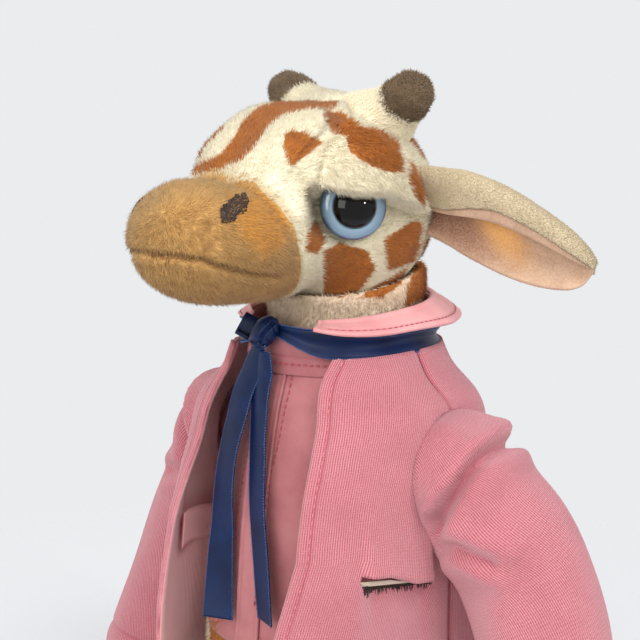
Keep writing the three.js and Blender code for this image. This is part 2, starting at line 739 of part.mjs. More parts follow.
const collarRing = (angle, z, offset) => sectionPoint(grow(torsoTop, offset), torso.squareness, angle, z);

// Fall: share of the way from a front point to the middle of the back, then shares of the spread and of the drop
const fallShares = [
  [0, 0.9, 0.12],
  [0.12, 0.95, 0.5],
  [0.3, 0.95, 0.85],
  [0.55, 1.1, 0.8],
  [0.8, 1.15, 0.75],
  [1, 1.1, 0.75],
];

function buildCollar() {
  const opening = radians(fall.opening);
  const standPoint = (u, v, offset) => {
    const angle = lerp(opening, 2 * Math.PI - opening, u);
    return collarRing(angle, lerp(torso.height + clearance, standTop(angle), v), offset);
  };
  add("collar_stand", panel(standPoint, 26, 1, standInner, standOuter), pinkCollar);
  const fallStart = radians(fall.opening * 2.4);
  const fallPoint = (u, v, lift) => {
    const angle = lerp(fallStart, 2 * Math.PI - fallStart, u);
    const [spread, drop] = rowAt(fallShares, 1 - Math.abs(2 * u - 1));
    const room = standTop(angle) - (torso.height + ribbon.bandRise + ribbon.bandHeight);
    const radius = lerp(standInner, standInner + spread * fall.spread, v);
    return collarRing(angle, standTop(angle) + 2 * clearance + lift - drop * room * v ** 1.6, radius);
  };
  add("collar_fall", panel(fallPoint, 26, 3, 0, fall.cloth), pinkCollar);
}

// Jacket: share of the way from hem to neckline, then of the half width, front, back and opening
const jacketShares = [
  [0, 1, 1, 1, 0.65],
  [0.13, 1, 1, 0.99, 0.65],
  [0.26, 1, 0.98, 0.955, 0.64],
  [0.39, 1, 0.945, 0.92, 0.63],
  [0.52, 1, 0.9, 0.89, 0.61],
  [0.64, 1, 0.815, 0.855, 0.575],
  [0.75, 1, 0.72, 0.82, 0.545],
  [0.87, 0.99, 0.65, 0.78, 0.53],
  [0.94, 0.87, 0.635, 0.735, 0.6],
  [1, 0, 0.625, 0, 0.72],
];
const neckSection = grow(torsoTop, standOuter + clearance + jacket.cloth);

function jacketSection(share) {
  const last = jacketShares.length - 1;
  const rows = jacketShares.map(([way, half, front, back, opening], i) => [
    way,
    i === last ? neckSection.half : half * jacketHalf,
    front * (torso.front + jacket.flare),
    i === last ? neckSection.back : back * (torso.back + jacket.seatEase),
    opening,
  ]);
  const [half, front, back, opening] = rowAt(rows, share);
  return { half, front, back, opening };
}

// The angle at which a jacket section is a share of its half width to the side.
const jacketAngle = (sideShare) => Math.asin(sideShare ** (jacket.squareness / 2));

function jacketPoint(angle, share, offset) {
  const z = lerp(jacketHem, jacketTop, share);
  return sectionPoint(grow(jacketSection(share), offset), jacket.squareness, angle, z);
}

function buildJacket() {
  const rows = jacketShares.length - 1;
  const rowShare = (v) => jacketShares[Math.round(v * rows)][0];
  const seam = sideSeam(jacketHalf, jacket.squareness);
  const backPanel = (u, v, offset) => jacketPoint(lerp(Math.PI - seam, Math.PI + seam, u), rowShare(v), offset);
  const armholes = (cloth) => {
    let cut = cloth;
    for (const side of [1, -1]) {
      cut = cut.subtract(crossBar(sleeve.wallRadius, side * torsoHalf * 0.6, side * (armPlane + overrun), 0, shoulderHeight));
    }
    return cut;
  };
  add("jacket_back", shape(armholes(solid(panel(backPanel, 16, rows, -jacket.cloth, 0)))), pinkKnit);
  for (const side of [1, -1]) {
    const front = (u, v, offset) => {
      const share = rowShare(v);
      const edge = jacketAngle(jacketSection(share).opening);
      return jacketPoint(side * lerp(edge, seam, u), share, offset);
    };
    let cloth = armholes(solid(panel(front, 8, rows, -jacket.cloth, 0)));
    cloth = cloth.subtract(solid(pocketPatch(side, 0, pocket.mouth, 0, -2 * jacket.cloth, overrun)));
    add("jacket_" + sideName(side) + "_front", shape(cloth), pinkKnit);
    const tapeLow = (pocket.mouth - pocket.tape) / 3;
    const tape = pocketPatch(side, tapeLow, tapeLow + pocket.tape, clearance, -jacket.cloth, -clearance);
    add(sideName(side) + "_pocket_tape", tape, creamTape);
    const liningFace = -jacket.cloth - clearance;
    const rim = (pocket.depth - pocket.mouth) / 2;
    const lining = pocketPatch(side, -rim, pocket.mouth + rim, -rim / 2, liningFace - pocket.lining, liningFace);
    add(sideName(side) + "_pocket_lining", lining, pinkKnitInside);
  }
}

// A patch of the jacket's surface at the pocket, between two heights above the pocket's lower edge.
function pocketPatch(side, low, high, inset, inner, outer) {
  const point = (u, v, offset) => {
    const z = jacketHem + pocket.rise + lerp(low, high, v);
    const trim = radians((inset / jacketHalf) * 57);
    const angle = lerp(radians(52) + trim, radians(83) - trim, u);
    return jacketPoint(side * angle, (z - jacketHem) / jacket.length, offset);
  };
  return panel(point, 6, 1, inner, outer);
}

// Arms: the sleeve's head is a ball about the shoulder, cut flat at the jacket's side
const armWayShares = [[0.16, 0.25, 0.1], [0.515, 1, 0.32], [0.8, 1, 0.59], [0.94, 0.75, 0.86], [1, 0.5, 1]];

function armPath(side) {
  const points = armWayShares.map(([out, back, down]) =>
    at(side * out * arm.swing, -back * arm.back, -down * arm.reach),
  );
  return [new THREE.Vector3(0, 0, 0), ...points];
}

const sleeveShares = [0, -0.6, -0.3, 0.2, 0.6, 0.9, 1];

function armRadii(shrink) {
  return sleeveShares.map((share) => lerp(sleeve.radius, sleeve.cuffRadius, share) - shrink);
}

function flatSide(side, limitSide) {
  return (point) => {
    if (side * point.x < limitSide - shoulderSide) point.x = side * (limitSide - shoulderSide);
    return point;
  };
}

function buildArm(side) {
  const name = sideName(side);
  const group = placed(side * shoulderSide, 0, shoulderHeight);
  if (side < 0) group.rotation.x = -radians(arm.rightForwardDegrees);
  const path = armPath(side);
  const skin = (shrink, limitSide) =>
    solid(limb(path, armRadii(shrink), 16, { limit: flatSide(side, limitSide) }));
  const inside = armPlane + sleeve.cloth;
  const cuff = path[path.length - 1];
  const beyond = cuff.clone().sub(path[path.length - 2]).normalize().multiplyScalar(overrun);
  const mouth = limb([cuff.clone().sub(beyond), cuff, cuff.clone().add(beyond)],
    [0, 0, 0].map(() => sleeve.cuffRadius - sleeve.cloth), 16, { domeRoot: false });
  const armhole = crossBar(sleeve.wallRadius, -side * overrun, side * (sleeve.cloth + clearance), 0, 0);
  const sleeveBody = skin(0, armPlane).subtract(skin(sleeve.cloth, inside)).subtract(solid(mouth)).subtract(armhole);
  add(name + "_sleeve", shape(sleeveBody), pinkKnit, group);
  const rootStart = armSeat(side) + side * clearance - side * shoulderSide;
  const root = crossBar(arm.rootRadius, rootStart, 0, 0, 0);
  const wristRadius = sleeve.cuffRadius - sleeve.cloth - clearance;
  const wristEnd = cuff.clone().addScaledVector(beyond, arm.wrist / overrun);
  const wrist = limb([cuff.clone().sub(beyond), cuff, wristEnd], [0.98, 0.98, 0.86].map((share) => share * wristRadius), 16, {
    domeRoot: false,
  });
  const armBody = skin(sleeve.cloth + clearance, inside + clearance).add(root).add(solid(wrist));
  add(name + "_arm", shape(armBody), creamPlush, group);
  const tubeOuter = arm.rootRadius + clearance + shirtSleeve.cloth;
  const tubeEnd = side * (inside - shoulderSide);
  const tube = crossBar(tubeOuter, rootStart, tubeEnd, 0, 0);
  const bore = crossBar(arm.rootRadius + clearance, rootStart - side * overrun, tubeEnd + side * overrun, 0, 0);
  add(name + "_shirt_sleeve", shape(tube.subtract(bore)), pinkWoven, group);
  const hoofStart = wristEnd.clone().addScaledVector(beyond, clearance / overrun);
  const step = beyond.clone().multiplyScalar(frontHoof.length / overrun / 2);
  const hoofPath = [hoofStart, hoofStart.clone().add(step), hoofStart.clone().addScaledVector(step, 2)];
  const hoofShares = [0.9, 1, 0.98, 0.88, 0.66];
  const hoof = limb(hoofPath, hoofShares.map((share) => share * frontHoof.radius), 14, { domeRoot: false });
  add(name + "_front_hoof", hoof, hoofPlush, group);
}

// Ribbon: a band around the stand, a knot at the throat, a small loop beside it and two tails
const bandOuter = standOuter + clearance + ribbon.cloth;
const knotForward = torsoTop.front + bandOuter + clearance + knot.depth / 2;
const knotHeight = torso.height + knot.rise;
const tailTop = knotHeight - knot.height / 2 - clearance;

function buildRibbon() {
  const low = torso.height + ribbon.bandRise;
  const band = (u, v, offset) => collarRing(u * 2 * Math.PI, low + v * ribbon.bandHeight, offset);
  add("ribbon_band", panel(band, 36, 1, standOuter + clearance, bandOuter, true), navySatin);
  const lump = new THREE.SphereGeometry(0.5, 14, 8).scale(knot.width, knot.depth, knot.height);
  const wrap = new THREE.SphereGeometry(0.5, 12, 8).scale(knot.width * 0.55, knot.depth, knot.height * 1.02);
  wrap.rotateY(radians(38));
  add("ribbon_knot", shape(solid(lump).add(solid(wrap))), navySatin, placed(0, knotForward, knotHeight));
  const loopPoint = (u, v, offset) => {
    const angle = radians(lerp(-20, 320, u));
    const radius = loop.radius + offset;
    return at(radius * Math.cos(angle), (v - 0.5) * loop.width * 0.6, radius * Math.sin(angle) * 1.5);
  };
  const loopSide = -knot.width / 2 - loop.radius - ribbon.cloth - clearance;
  const loopGroup = placed(loopSide, knotForward, knotHeight + knot.height * 0.1);
  add("ribbon_loop", panel(loopPoint, 14, 1, 0, ribbon.cloth), navySatin, loopGroup);
  for (const side of [1, -1]) {
    const hang = (u, v, offset) => {
      const z = tailTop - v * ribbon.tailLength;
      const width = lerp(ribbon.pinch, ribbon.width, Math.min(v * 6, 1));
      const start = ribbon.pinch / 2 + clearance;
      const reachSide = lerp(start, ribbon.tailSpread, Math.min(v * 1.6, 1) ** 0.7);
      const middle = Math.max(reachSide, width / 2 + clearance);
      const x = side * (middle + (u - 0.5) * width);
      const hugging = frontOf(0, z, placketOuter + clearance);
      const forward = Math.max(hugging, lerp(knotForward, hugging, Math.min(v * 4, 1)));
      return at(x, forward + offset, z);
    };
    add("ribbon_" + sideName(side) + "_tail", panel(hang, 2, 14, 0, ribbon.cloth), navySatin);
  }
}

buildTorso();
buildNeck();
buildHeadAndFace();
buildShirt();
buildCollar();
buildJacket();
buildRibbon();
buildTail();
for (const side of [1, -1]) {
  buildArm(side);
  buildLeg(side);
}

const round = (value) => Number(value.toFixed(3));
const pivots = {
  shoulder: [shoulderSide, 0, shoulderHeight].map(round),
  hip: [hip.spread, -hip.forward, hipHeight].map(round),
  head: [0, -cranium.forward, headHeight].map(round),
  ear: [Math.sqrt(cranium.radius ** 2 - earRoot.back ** 2) + earRoot.radius * 0.6, earRoot.back - cranium.forward].map(round),
  tail: [0, tailRootBack(), tail.height].map(round),
  ribbonTails: [0, -knotForward, tailTop].map(round),
};
console.log(JSON.stringify({ pieces: pieces.size, pivots }));

export default giraffe;
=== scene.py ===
# %% [markdown]
# A seated plush giraffe in an open knitted jacket, a woven shirt and a ribbon tied at the neck. The packed
# model is the frame: every piece made here stands for one of its solids and rides on that solid's body.
# One could model in metres from the start, but a toy is easier to think of in millimetres, so all shapes
# below are worked out in millimetres and turned into metres when their mesh is made. The giraffe looks
# along -Y, its left is +X, and it sits on the plane z = 0.

# %% Load the frame
import bpy
import math
import numpy as np
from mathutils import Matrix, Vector
from mathutils.kdtree import KDTree


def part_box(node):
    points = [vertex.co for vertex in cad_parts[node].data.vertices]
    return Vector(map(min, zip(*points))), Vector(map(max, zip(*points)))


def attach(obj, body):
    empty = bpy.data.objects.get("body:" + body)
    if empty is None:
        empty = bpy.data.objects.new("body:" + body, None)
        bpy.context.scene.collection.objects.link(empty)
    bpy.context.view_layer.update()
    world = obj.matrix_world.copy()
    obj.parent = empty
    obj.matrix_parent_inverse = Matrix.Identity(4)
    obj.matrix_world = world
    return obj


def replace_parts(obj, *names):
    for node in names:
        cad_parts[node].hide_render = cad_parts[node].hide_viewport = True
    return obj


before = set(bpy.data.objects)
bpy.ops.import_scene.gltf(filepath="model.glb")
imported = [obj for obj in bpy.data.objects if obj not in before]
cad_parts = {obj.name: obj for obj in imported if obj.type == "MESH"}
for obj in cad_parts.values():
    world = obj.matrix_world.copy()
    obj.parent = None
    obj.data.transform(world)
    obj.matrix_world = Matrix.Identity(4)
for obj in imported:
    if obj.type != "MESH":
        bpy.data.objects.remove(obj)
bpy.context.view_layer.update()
MM = 0.001


def show(thing):
    """Links an object to the scene and gives it back."""
    bpy.context.scene.collection.objects.link(thing)
    return thing


# %% [markdown]
# The camera stands in front, a little to the giraffe's left. Seams and patches could be placed by eye, again
# and again. Here the camera's own numbers turn a point of the toy into a point of the photograph, so a mark
# that is seen in the photograph can be found on the toy's surface, and it stays there from any other side.

# %% Camera
AZIMUTH, ELEVATION, DISTANCE = math.radians(43), math.radians(10), 474
AIM = np.array([-6.1, -5.7, 170.0])
LENS, SENSOR, PHOTO = 80, 36, 640


def direction(azimuth, rise):
    """The way from the toy towards an azimuth and a height, both in radians."""
    return np.array([math.sin(azimuth) * math.cos(rise), -math.cos(azimuth) * math.cos(rise), math.sin(rise)])


TO_CAMERA = direction(AZIMUTH, ELEVATION)
TO_RIGHT = np.array([math.cos(AZIMUTH), math.sin(AZIMUTH), 0.0])
TO_TOP = np.cross(TO_CAMERA, TO_RIGHT)


def photo_place(points):
    """Where points in millimetres fall in the photograph, in its pixels."""
    away = points - AIM
    size = LENS / SENSOR * PHOTO / (DISTANCE - away @ TO_CAMERA)
    return np.stack([PHOTO / 2 + size * (away @ TO_RIGHT), PHOTO / 2 - size * (away @ TO_TOP)], axis=1)


camera_data = bpy.data.cameras.new("camera")
camera_data.lens = LENS
camera_data.sensor_width = SENSOR
camera = bpy.data.objects.new("camera", camera_data)
camera.location = (AIM + TO_CAMERA * DISTANCE) * MM
camera.rotation_euler = (math.pi / 2 - ELEVATION, 0, AZIMUTH)
show(camera)
bpy.context.scene.camera = camera
print("camera at", [round(v, 3) for v in camera.location])

# %% [markdown] Materials are node trees. Placing dozens of Math nodes by hand, or one line of code for each,
# hides what is computed.

# %% Shader helpers
class Sum:
    def __init__(self, tree, socket):
        self.tree, self.socket = tree, socket

    def math(self, kind, *others):
        made = self.tree.nodes.new("ShaderNodeMath")
        made.operation = kind
        for place, value in zip(made.inputs, (self, *others)):
            join(self.tree, value, place)
        return Sum(self.tree, made.outputs[0])

    def __add__(self, other):
        return self.math("ADD", other)

    def __sub__(self, other):
        return self.math("SUBTRACT", other)

    def __mul__(self, other):
        return self.math("MULTIPLY", other)

    def __pow__(self, other):
        return self.math("POWER", other)

    def wave(self):
        return self.math("SINE")

    def size(self):
        return self.math("ABSOLUTE")

    def step(self, low, high, start=0.0, end=1.0):
        """Goes smoothly from start to end as this goes from low to high."""
        made = self.tree.nodes.new("ShaderNodeMapRange")
        made.interpolation_type = "SMOOTHSTEP"
        for place, value in zip(made.inputs, (self, low, high, start, end)):
            join(self.tree, value, place)
        return Sum(self.tree, made.outputs[0])


print("a Sum can", ", ".join(name for name in vars(Sum) if name[0] != "_"))

# %% Placing and joining nodes
def join(tree, value, place):
    if isinstance(value, Sum):
        tree.links.new(value.socket, place)
    else:
        place.default_value = value


def put(tree, kind, output=0, settings=None, **values):
    """Adds a node. Names in values are the node's inputs, with _ for a space."""
    made = tree.nodes.new(kind)
    for key, value in (settings or {}).items():
        setattr(made, key, value)
    for key, value in values.items():
        join(tree, value, made.inputs[key.replace("_", " ")])
    return Sum(tree, made.outputs[output])


def noise(tree, scale, vector=None, detail=3.0, rough=0.55):
    vector = vector or put(tree, "ShaderNodeTexCoord", "Object")
    return put(tree, "ShaderNodeTexNoise", "Fac", Vector=vector, Scale=scale, Detail=detail, Roughness=rough)


def attribute(tree, name):
    return put(tree, "ShaderNodeAttribute", "Fac", {"attribute_name": name})


def stretched(tree, vector, scales):
    return put(tree, "ShaderNodeMapping", "Vector", Vector=vector, Scale=scales)


def mixed(tree, share, first, second):
    made = tree.nodes.new("ShaderNodeMix")
    made.data_type = "RGBA"
    for place, value in ((0, share), (6, first), (7, second)):
        join(tree, value, made.inputs[place])
    return Sum(tree, made.outputs[2])


print("nodes can be placed, joined and mixed")

# %% Colours and materials
def linear(red, green, blue):
    """An 8-bit screen colour as the linear colour that a shader takes."""
    parts = [v / 255 for v in (red, green, blue)]
    return (*[v / 12.92 if v < 0.04045 else ((v + 0.055) / 1.055) ** 2.4 for v in parts], 1.0)


def finish(name, paint, roughness=0.9, depth=0.0004, strength=0.6, **settings):
    """A material whose colour, height and roughness come from paint(tree)."""
    material = bpy.data.materials.new(name)
    material.use_nodes = True
    tree = material.node_tree
    shader = tree.nodes["Principled BSDF"]
    colour, height, rough = paint(tree)
    join(tree, colour, shader.inputs["Base Color"])
    join(tree, rough if rough is not None else roughness, shader.inputs["Roughness"])
    if height is not None:
        bump = put(tree, "ShaderNodeBump", "Normal", Height=height, Distance=depth, Strength=strength)
        join(tree, bump, shader.inputs["Normal"])
    for key, value in settings.items():
        shader.inputs[key.replace("_", " ")].default_value = value
    return material


print("shader helpers ready")

# %% [markdown]
# Three effects appear on more than one material: the uneven shade of brushed pile, the net of giraffe patches
# and the columns of knitted loops, which knitters call wales. Copying nodes would work but would drift
# apart, so each is one node group with named inputs. It gives only a mask, a tone or a height, and the
# shader stays in the material.

# %% Shared shader groups
def shader_group(name, inputs, outputs, build):
    tree = bpy.data.node_groups.new(name, "ShaderNodeTree")
    for label, kind, value in inputs:
        socket = tree.interface.new_socket(label, in_out="INPUT", socket_type=kind)
        if value is not None:
            socket.default_value = value
    for label in outputs:
        tree.interface.new_socket(label, in_out="OUTPUT", socket_type="NodeSocketFloat")
    start, end = tree.nodes.new("NodeGroupInput"), tree.nodes.new("NodeGroupOutput")
    given = {label: Sum(tree, start.outputs[label]) for label, _, _ in inputs}
    for place, value in zip(end.inputs, build(tree, given)):
        join(tree, value, place)
    return tree


def build_pile(tree, given):
    """Tone and height of short pile: fine streaks, soft clumps, and painted shade at the root and in grooves.
    """
    spot = put(tree, "ShaderNodeTexCoord", "Object")
    fine = noise(tree, 1400.0, spot, 2.0)
    clump = noise(tree, 260.0, spot, 3.0)
    streak = noise(tree, 500.0, stretched(tree, spot, (1.0, 0.35, 1.0)), 3.0, 0.7)
    tip = attribute(tree, "tip")
    groove = attribute(tree, "groove")
    # The tone is darker at the root than at the tip, and darker along grooves: painted shade.
    tone = (fine - 0.5) * 0.25 + (clump - 0.5) * 0.34 + (streak - 0.5) * 0.4 + 0.9 + tip * 0.12
    return [tone - groove * 0.3, fine * 0.3 + streak * 0.7]


def build_patches(tree, given):
    """Rounded many-sided patches with pale lanes between them."""
    spot = put(tree, "ShaderNodeTexCoord", "Object")
    bent = put(tree, "ShaderNodeVectorMath", 0, {"operation": "ADD"})
    wobble = put(tree, "ShaderNodeTexNoise", "Color", Vector=spot, Scale=60.0, Detail=2.0)
    shift = put(tree, "ShaderNodeVectorMath", 0, {"operation": "SCALE"})
    tree.links.new(wobble.socket, shift.socket.node.inputs[0])
    shift.socket.node.inputs["Scale"].default_value = 0.009
    tree.links.new(spot.socket, bent.socket.node.inputs[0])
    tree.links.new(shift.socket, bent.socket.node.inputs[1])
    edge = put(tree, "ShaderNodeTexVoronoi", "Distance", {"feature": "DISTANCE_TO_EDGE"}, Vector=bent,
        Scale=given["Scale"])
    return [edge.step(0.10, 0.15)]


def build_knit(tree, given):
    """Knitted wales: columns of small leaning loops. UV is in metres, with wales along its second axis."""
    uv = put(tree, "ShaderNodeUVMap", "UV")
    parts = tree.nodes.new("ShaderNodeSeparateXYZ")
    wander = noise(tree, 90.0, None, 2.0)
    tree.links.new(uv.socket, parts.inputs[0])
    across = Sum(tree, parts.outputs[0]) + (wander - 0.5) * 0.0006
    along = Sum(tree, parts.outputs[1])
    turn = across * (2 * math.pi / 0.00074)
    column = (turn.wave() * 0.5 + 0.5) ** 0.7
    lean = (turn + 1.57).wave().size()
    slip = noise(tree, 420.0, None, 2.0)
    loops = ((along * (2 * math.pi / 0.0008)) + lean * 3.4 + slip * 7.0).wave() * 0.5 + 0.5
    return [column * 0.85 + loops * column * 0.25, column, loops]


PILE = shader_group("pile", [], ["Tone", "Height"], build_pile)
PATCHES = shader_group("patches", [("Scale", "NodeSocketFloat", 46.0)], ["Mask"], build_patches)
KNIT = shader_group("knit", [], ["Height", "Column", "Loop"], build_knit)


def group(tree, made, **values):
    node = tree.nodes.new("ShaderNodeGroup")
    node.node_tree = made
    for key, value in values.items():
        join(tree, value, node.inputs[key])
    return [Sum(tree, socket) for socket in node.outputs]


print("shader groups:", PILE.name, PATCHES.name, KNIT.name)

# %% [markdown]
# Short plush is a pile of fine fibres on a knitted ground: matt, soft at the rim and darker between the
# fibres. Real hairs are set on later, so the material only adds tone, painted shade at the roots and in
# grooves, a little sheen and the patches' colour.
# A colour is written as the screen colour that even light shows, and its shade is the same dye in hollows.

# %% Plush and thread materials
CREAM, CREAM_SHADE = linear(238, 229, 202), linear(208, 194, 160)
RUSSET, RUSSET_SHADE = linear(180, 107, 36), linear(134, 71, 16)


def toned(tree, colour, shade, tone):
    return mixed(tree, tone.step(0.62, 1.08), shade, colour)


def plush(name, colour, shade, patches=None, blush=None):
    """Short pile in one colour, or with russet patches."""

    def paint(tree):
        tone, height = group(tree, PILE)
        base = toned(tree, colour, shade, tone)
        if blush:
            base = mixed(tree, attribute(tree, "blush").step(0.0, 1.0), base, blush)
        if patches == "drawn":
            fuzz = noise(tree, 700.0, None, 2.0)
            mask = (attribute(tree, "patch") + (fuzz - 0.5) * 1.6).step(-0.45, 0.45)
        if patches == "grown":
            mask = group(tree, PATCHES)[0]
        if patches:
            base = mixed(tree, mask, base, toned(tree, RUSSET, RUSSET_SHADE, tone))
        return base, height, None

    return finish(name, paint, 0.92, depth=0.0005, strength=0.5, Sheen_Weight=0.1, Sheen_Roughness=0.5)


LOOKS = {
    "cream": plush("cream_pile", CREAM, CREAM_SHADE, "drawn"),
    # The throat is a little pinker than the head's cream: painted reflection of the pink clothes below it.
    "throat": plush("throat_pile", linear(240, 222, 196), linear(214, 184, 150), "drawn"),
    # The ear's back is the head's cream plush written darker and flatter: painted shade.
    "ear_back": plush("ear_back_pile", linear(204, 188, 158), linear(192, 175, 142)),
    "spotted": plush("spotted_pile", CREAM, CREAM_SHADE, "grown"),
    "tan": plush("tan_pile", linear(206, 163, 100), linear(158, 113, 58), blush=linear(216, 152, 66)),
    "hoof": plush("hoof_pile", linear(140, 92, 56), linear(96, 60, 34)),
    "horn_tip": plush("horn_tip_pile", linear(124, 102, 76), linear(64, 49, 34)),
    "mane": plush("mane_pile", RUSSET, RUSSET_SHADE),
}
print("plush:", ", ".join(LOOKS))

# %% [markdown]
# The ears are lined with brushed velour, pale at the rim, with a painted warm glow of light through the ear
# in the fold and painted shade in the hollow near the root. The nostrils are worked in dark thread. One flat
# colour would hide the fold, so two values carried by the points mix in its tones.

# %% Ear velour and embroidery
def paint_ear(tree):
    """Brushed velour with a painted glow of light through the ear in the fold, painted shade near the root,
    pale at the rim.
    """
    spot = put(tree, "ShaderNodeTexCoord", "Object")
    fine, cloud = noise(tree, 1800.0, spot, 2.0), noise(tree, 130.0, spot, 3.0)
    # glow is a painted glow of light shining through the ear; groove here is painted shade in the hollow near
    # the root.
    glow = attribute(tree, "blush").step(0.0, 1.0)
    base = mixed(tree, cloud.step(0.3, 0.75), linear(190, 154, 126), linear(170, 132, 104))
    base = mixed(tree, attribute(tree, "groove").step(0.0, 1.0), base, linear(132, 84, 54))
    base = mixed(tree, glow, base, linear(214, 152, 72))
    return mixed(tree, fine.step(0.3, 0.7, 0.0, 0.14), base, linear(255, 240, 222)), fine, None


def paint_thread(tree):
    spot = put(tree, "ShaderNodeTexCoord", "Object")
    lay = noise(tree, 1500.0, stretched(tree, spot, (1.0, 0.3, 1.0)), 3.0)
    return mixed(tree, lay.step(0.3, 0.7), linear(26, 13, 9), linear(62, 36, 24)), lay, lay.step(0.3, 0.7,
        0.75, 0.5)


LOOKS["ear"] = finish("ear_velour", paint_ear, 0.85, depth=0.0001, strength=0.4, Sheen_Weight=0.3)
LOOKS["embroidery"] = finish("dark_embroidery", paint_thread, 0.6, depth=0.0003, strength=0.7)
print("velour and embroidery")

# %% [markdown]
# The jacket is a fine pink knit. A photograph of knit would tile visibly, so the columns and loops are waves
# along the cloth's own UV, painted lighter on the loops and darker between them as painted shade, with a fuzz
# of paler fibres on top. Seams and creases get painted shade, and the cloth's inside is painted paler, as
# painted light that lifts the shade it lies in.

# %% Knit
def knit(name, light, dark, loopback=False):
    def paint(tree):
        height, column, loop = group(tree, KNIT)
        cloud = noise(tree, 55.0, None, 4.0)
        fibre = noise(tree, 2600.0, None, 2.0)
        # Lighter on the loops and darker between them: painted shade in the knit's hollows.
        base = mixed(tree, (column * 0.75 + loop * 0.25).step(0.1, 0.95), dark, light)
        base = mixed(tree, cloud.step(0.3, 0.75, 0.0, 0.3), base, dark)
        base = mixed(tree, fibre.step(0.45, 0.8, 0.0, 0.35), base, linear(240, 182, 190))
        # Darker along seams, hems, creases and under the pocket: painted shade.
        groove = attribute(tree, "groove")
        base = mixed(tree, groove.step(0.0, 1.0, 0.0, 0.45), base, linear(170, 66, 84))
        # The back layer is painted paler: painted light that lifts the shade it lies in.
        base = mixed(tree, attribute(tree, "inside").step(0.4, 0.6, 0.0, 0.75), base, linear(255, 196, 200))
        return base, height * (0.6 if loopback else 1.0) + fibre * 0.25, None

    return finish(name, paint, 0.9, depth=0.0005, strength=0.65, Sheen_Weight=0.35, Sheen_Roughness=0.4)


LOOKS["knit"] = knit("pink_knit", linear(220, 140, 148), linear(164, 78, 92))
# The pocket lining's knit is written paler than the jacket's: painted light in the pocket's shade.
LOOKS["knit_back"] = knit("pink_knit_inside", linear(232, 150, 156), linear(196, 110, 120), True)
print("knit, outside and inside")

# %% [markdown]
# Shirt, collar and pocket tape are plain woven cotton, flatter and a little shinier than the knit. Real
# threads would be far too many, so two crossing waves of one thread's width and a few slubs stand for them,
# darker where the weave dips as painted shade. Seams and hems get painted shade too, and the shirt is written
# darker than its rose cloth, as painted shade of the jacket over it.

# %% Woven cotton and tape
def woven(name, light, dark, thread=0.00022):
    """Plain weave: fine crossing threads, soft slubs, a faint shine, and painted shade where the weave dips
    and in grooves.
    """

    def paint(tree):
        parts = tree.nodes.new("ShaderNodeSeparateXYZ")
        tree.links.new(put(tree, "ShaderNodeUVMap", "UV").socket, parts.inputs[0])
        warp = (Sum(tree, parts.outputs[0]) * (2 * math.pi / thread)).wave()
        weft = (Sum(tree, parts.outputs[1]) * (2 * math.pi / thread)).wave()
        cloth = warp * weft
        cloud, slub = noise(tree, 70.0, None, 4.0), noise(tree, 900.0, None, 2.0)
        base = mixed(tree, cloud.step(0.3, 0.7), light, dark)
        # Darker where the weave dips: painted shade between the threads.
        base = mixed(tree, (cloth + slub * 1.5).step(-1.0, 2.2, 0.25, 0.0), base, linear(176, 88, 98))
        # Darker along seams and hems: painted shade.
        groove = attribute(tree, "groove")
        base = mixed(tree, groove.step(0.0, 1.0, 0.0, 0.4), base, linear(168, 78, 88))
        return base, cloth * 0.3 + slub * 0.6, slub.step(0.2, 0.8, 0.5, 0.72)

    return finish(name, paint, 0.6, depth=0.00012, strength=0.5, Sheen_Weight=0.25)


# The shirt is its rose cloth written darker: painted shade of the jacket over it.
LOOKS["shirt"] = woven("rose_cotton", linear(183, 115, 117), linear(163, 93, 97))
LOOKS["collar"] = woven("light_pink_cotton", linear(240, 172, 172), linear(226, 150, 152))
LOOKS["tape"] = woven("cream_tape", linear(226, 216, 196), linear(188, 176, 154))
print("three woven cloths")

# %% [markdown]
# The ribbon is navy satin. Its long floats shine along the ribbon, so the noise is stretched that way, and
# the base stays dark because the sheen lightens it; it is also written darker than the dye, as painted shade
# for the band under the collar's fall. Sewing threads share one recipe in their own colours.

# %% Satin and sewing thread
def paint_satin(tree):
    """Satin: fine floats along the ribbon, with cross ribs too small to see apart."""
    parts = tree.nodes.new("ShaderNodeSeparateXYZ")
    tree.links.new(put(tree, "ShaderNodeUVMap", "UV").socket, parts.inputs[0])
    floats = noise(tree, 900.0, stretched(tree, put(tree, "ShaderNodeUVMap", "UV"), (9.0, 1.0, 1.0)), 3.0,
        0.7)
    ribs = (Sum(tree, parts.outputs[1]) * (2 * math.pi / 0.00035)).wave()
    cloud = noise(tree, 60.0, None, 3.0)
    # Darker than the navy dye, partly as painted shade.
    base = mixed(tree, cloud.step(0.3, 0.7), linear(6, 22, 54), linear(11, 34, 76))
    return base, floats + ribs * 0.35, floats.step(0.2, 0.8, 0.26, 0.4)


LOOKS["satin"] = finish("navy_satin", paint_satin, 0.32, depth=0.00006, strength=0.45, Sheen_Weight=0.1,
                        Sheen_Roughness=0.25, Sheen_Tint=linear(60, 110, 200), Specular_IOR_Level=0.22)


def thread(light, dark):
    def paint(tree):
        lay = noise(tree, 2200.0, None, 2.0)
        return mixed(tree, lay.step(0.3, 0.7), dark, light), lay, None

    return paint


LOOKS["pink_thread"] = finish("pink_thread", thread(linear(228, 146, 154), linear(198, 104, 116)), 0.55,
    depth=0.00008)
LOOKS["rose_thread"] = finish("rose_thread", thread(linear(186, 84, 96), linear(150, 52, 66)), 0.55,
    depth=0.00008)
LOOKS["satin_edge"] = finish("satin_edge", thread(linear(66, 104, 156), linear(26, 52, 100)), 0.4,
    depth=0.00008)
print("satin, its edge and two threads")

# %% [markdown]
# The eye is glossy plastic: a blue-grey ring that darkens towards its rim and has a painted shadow line at
# its outer edge, under a clear coat, and a dome that is nearly black. A glass shader would add noise and hide
# the ring, so a coat over a plain base does it.

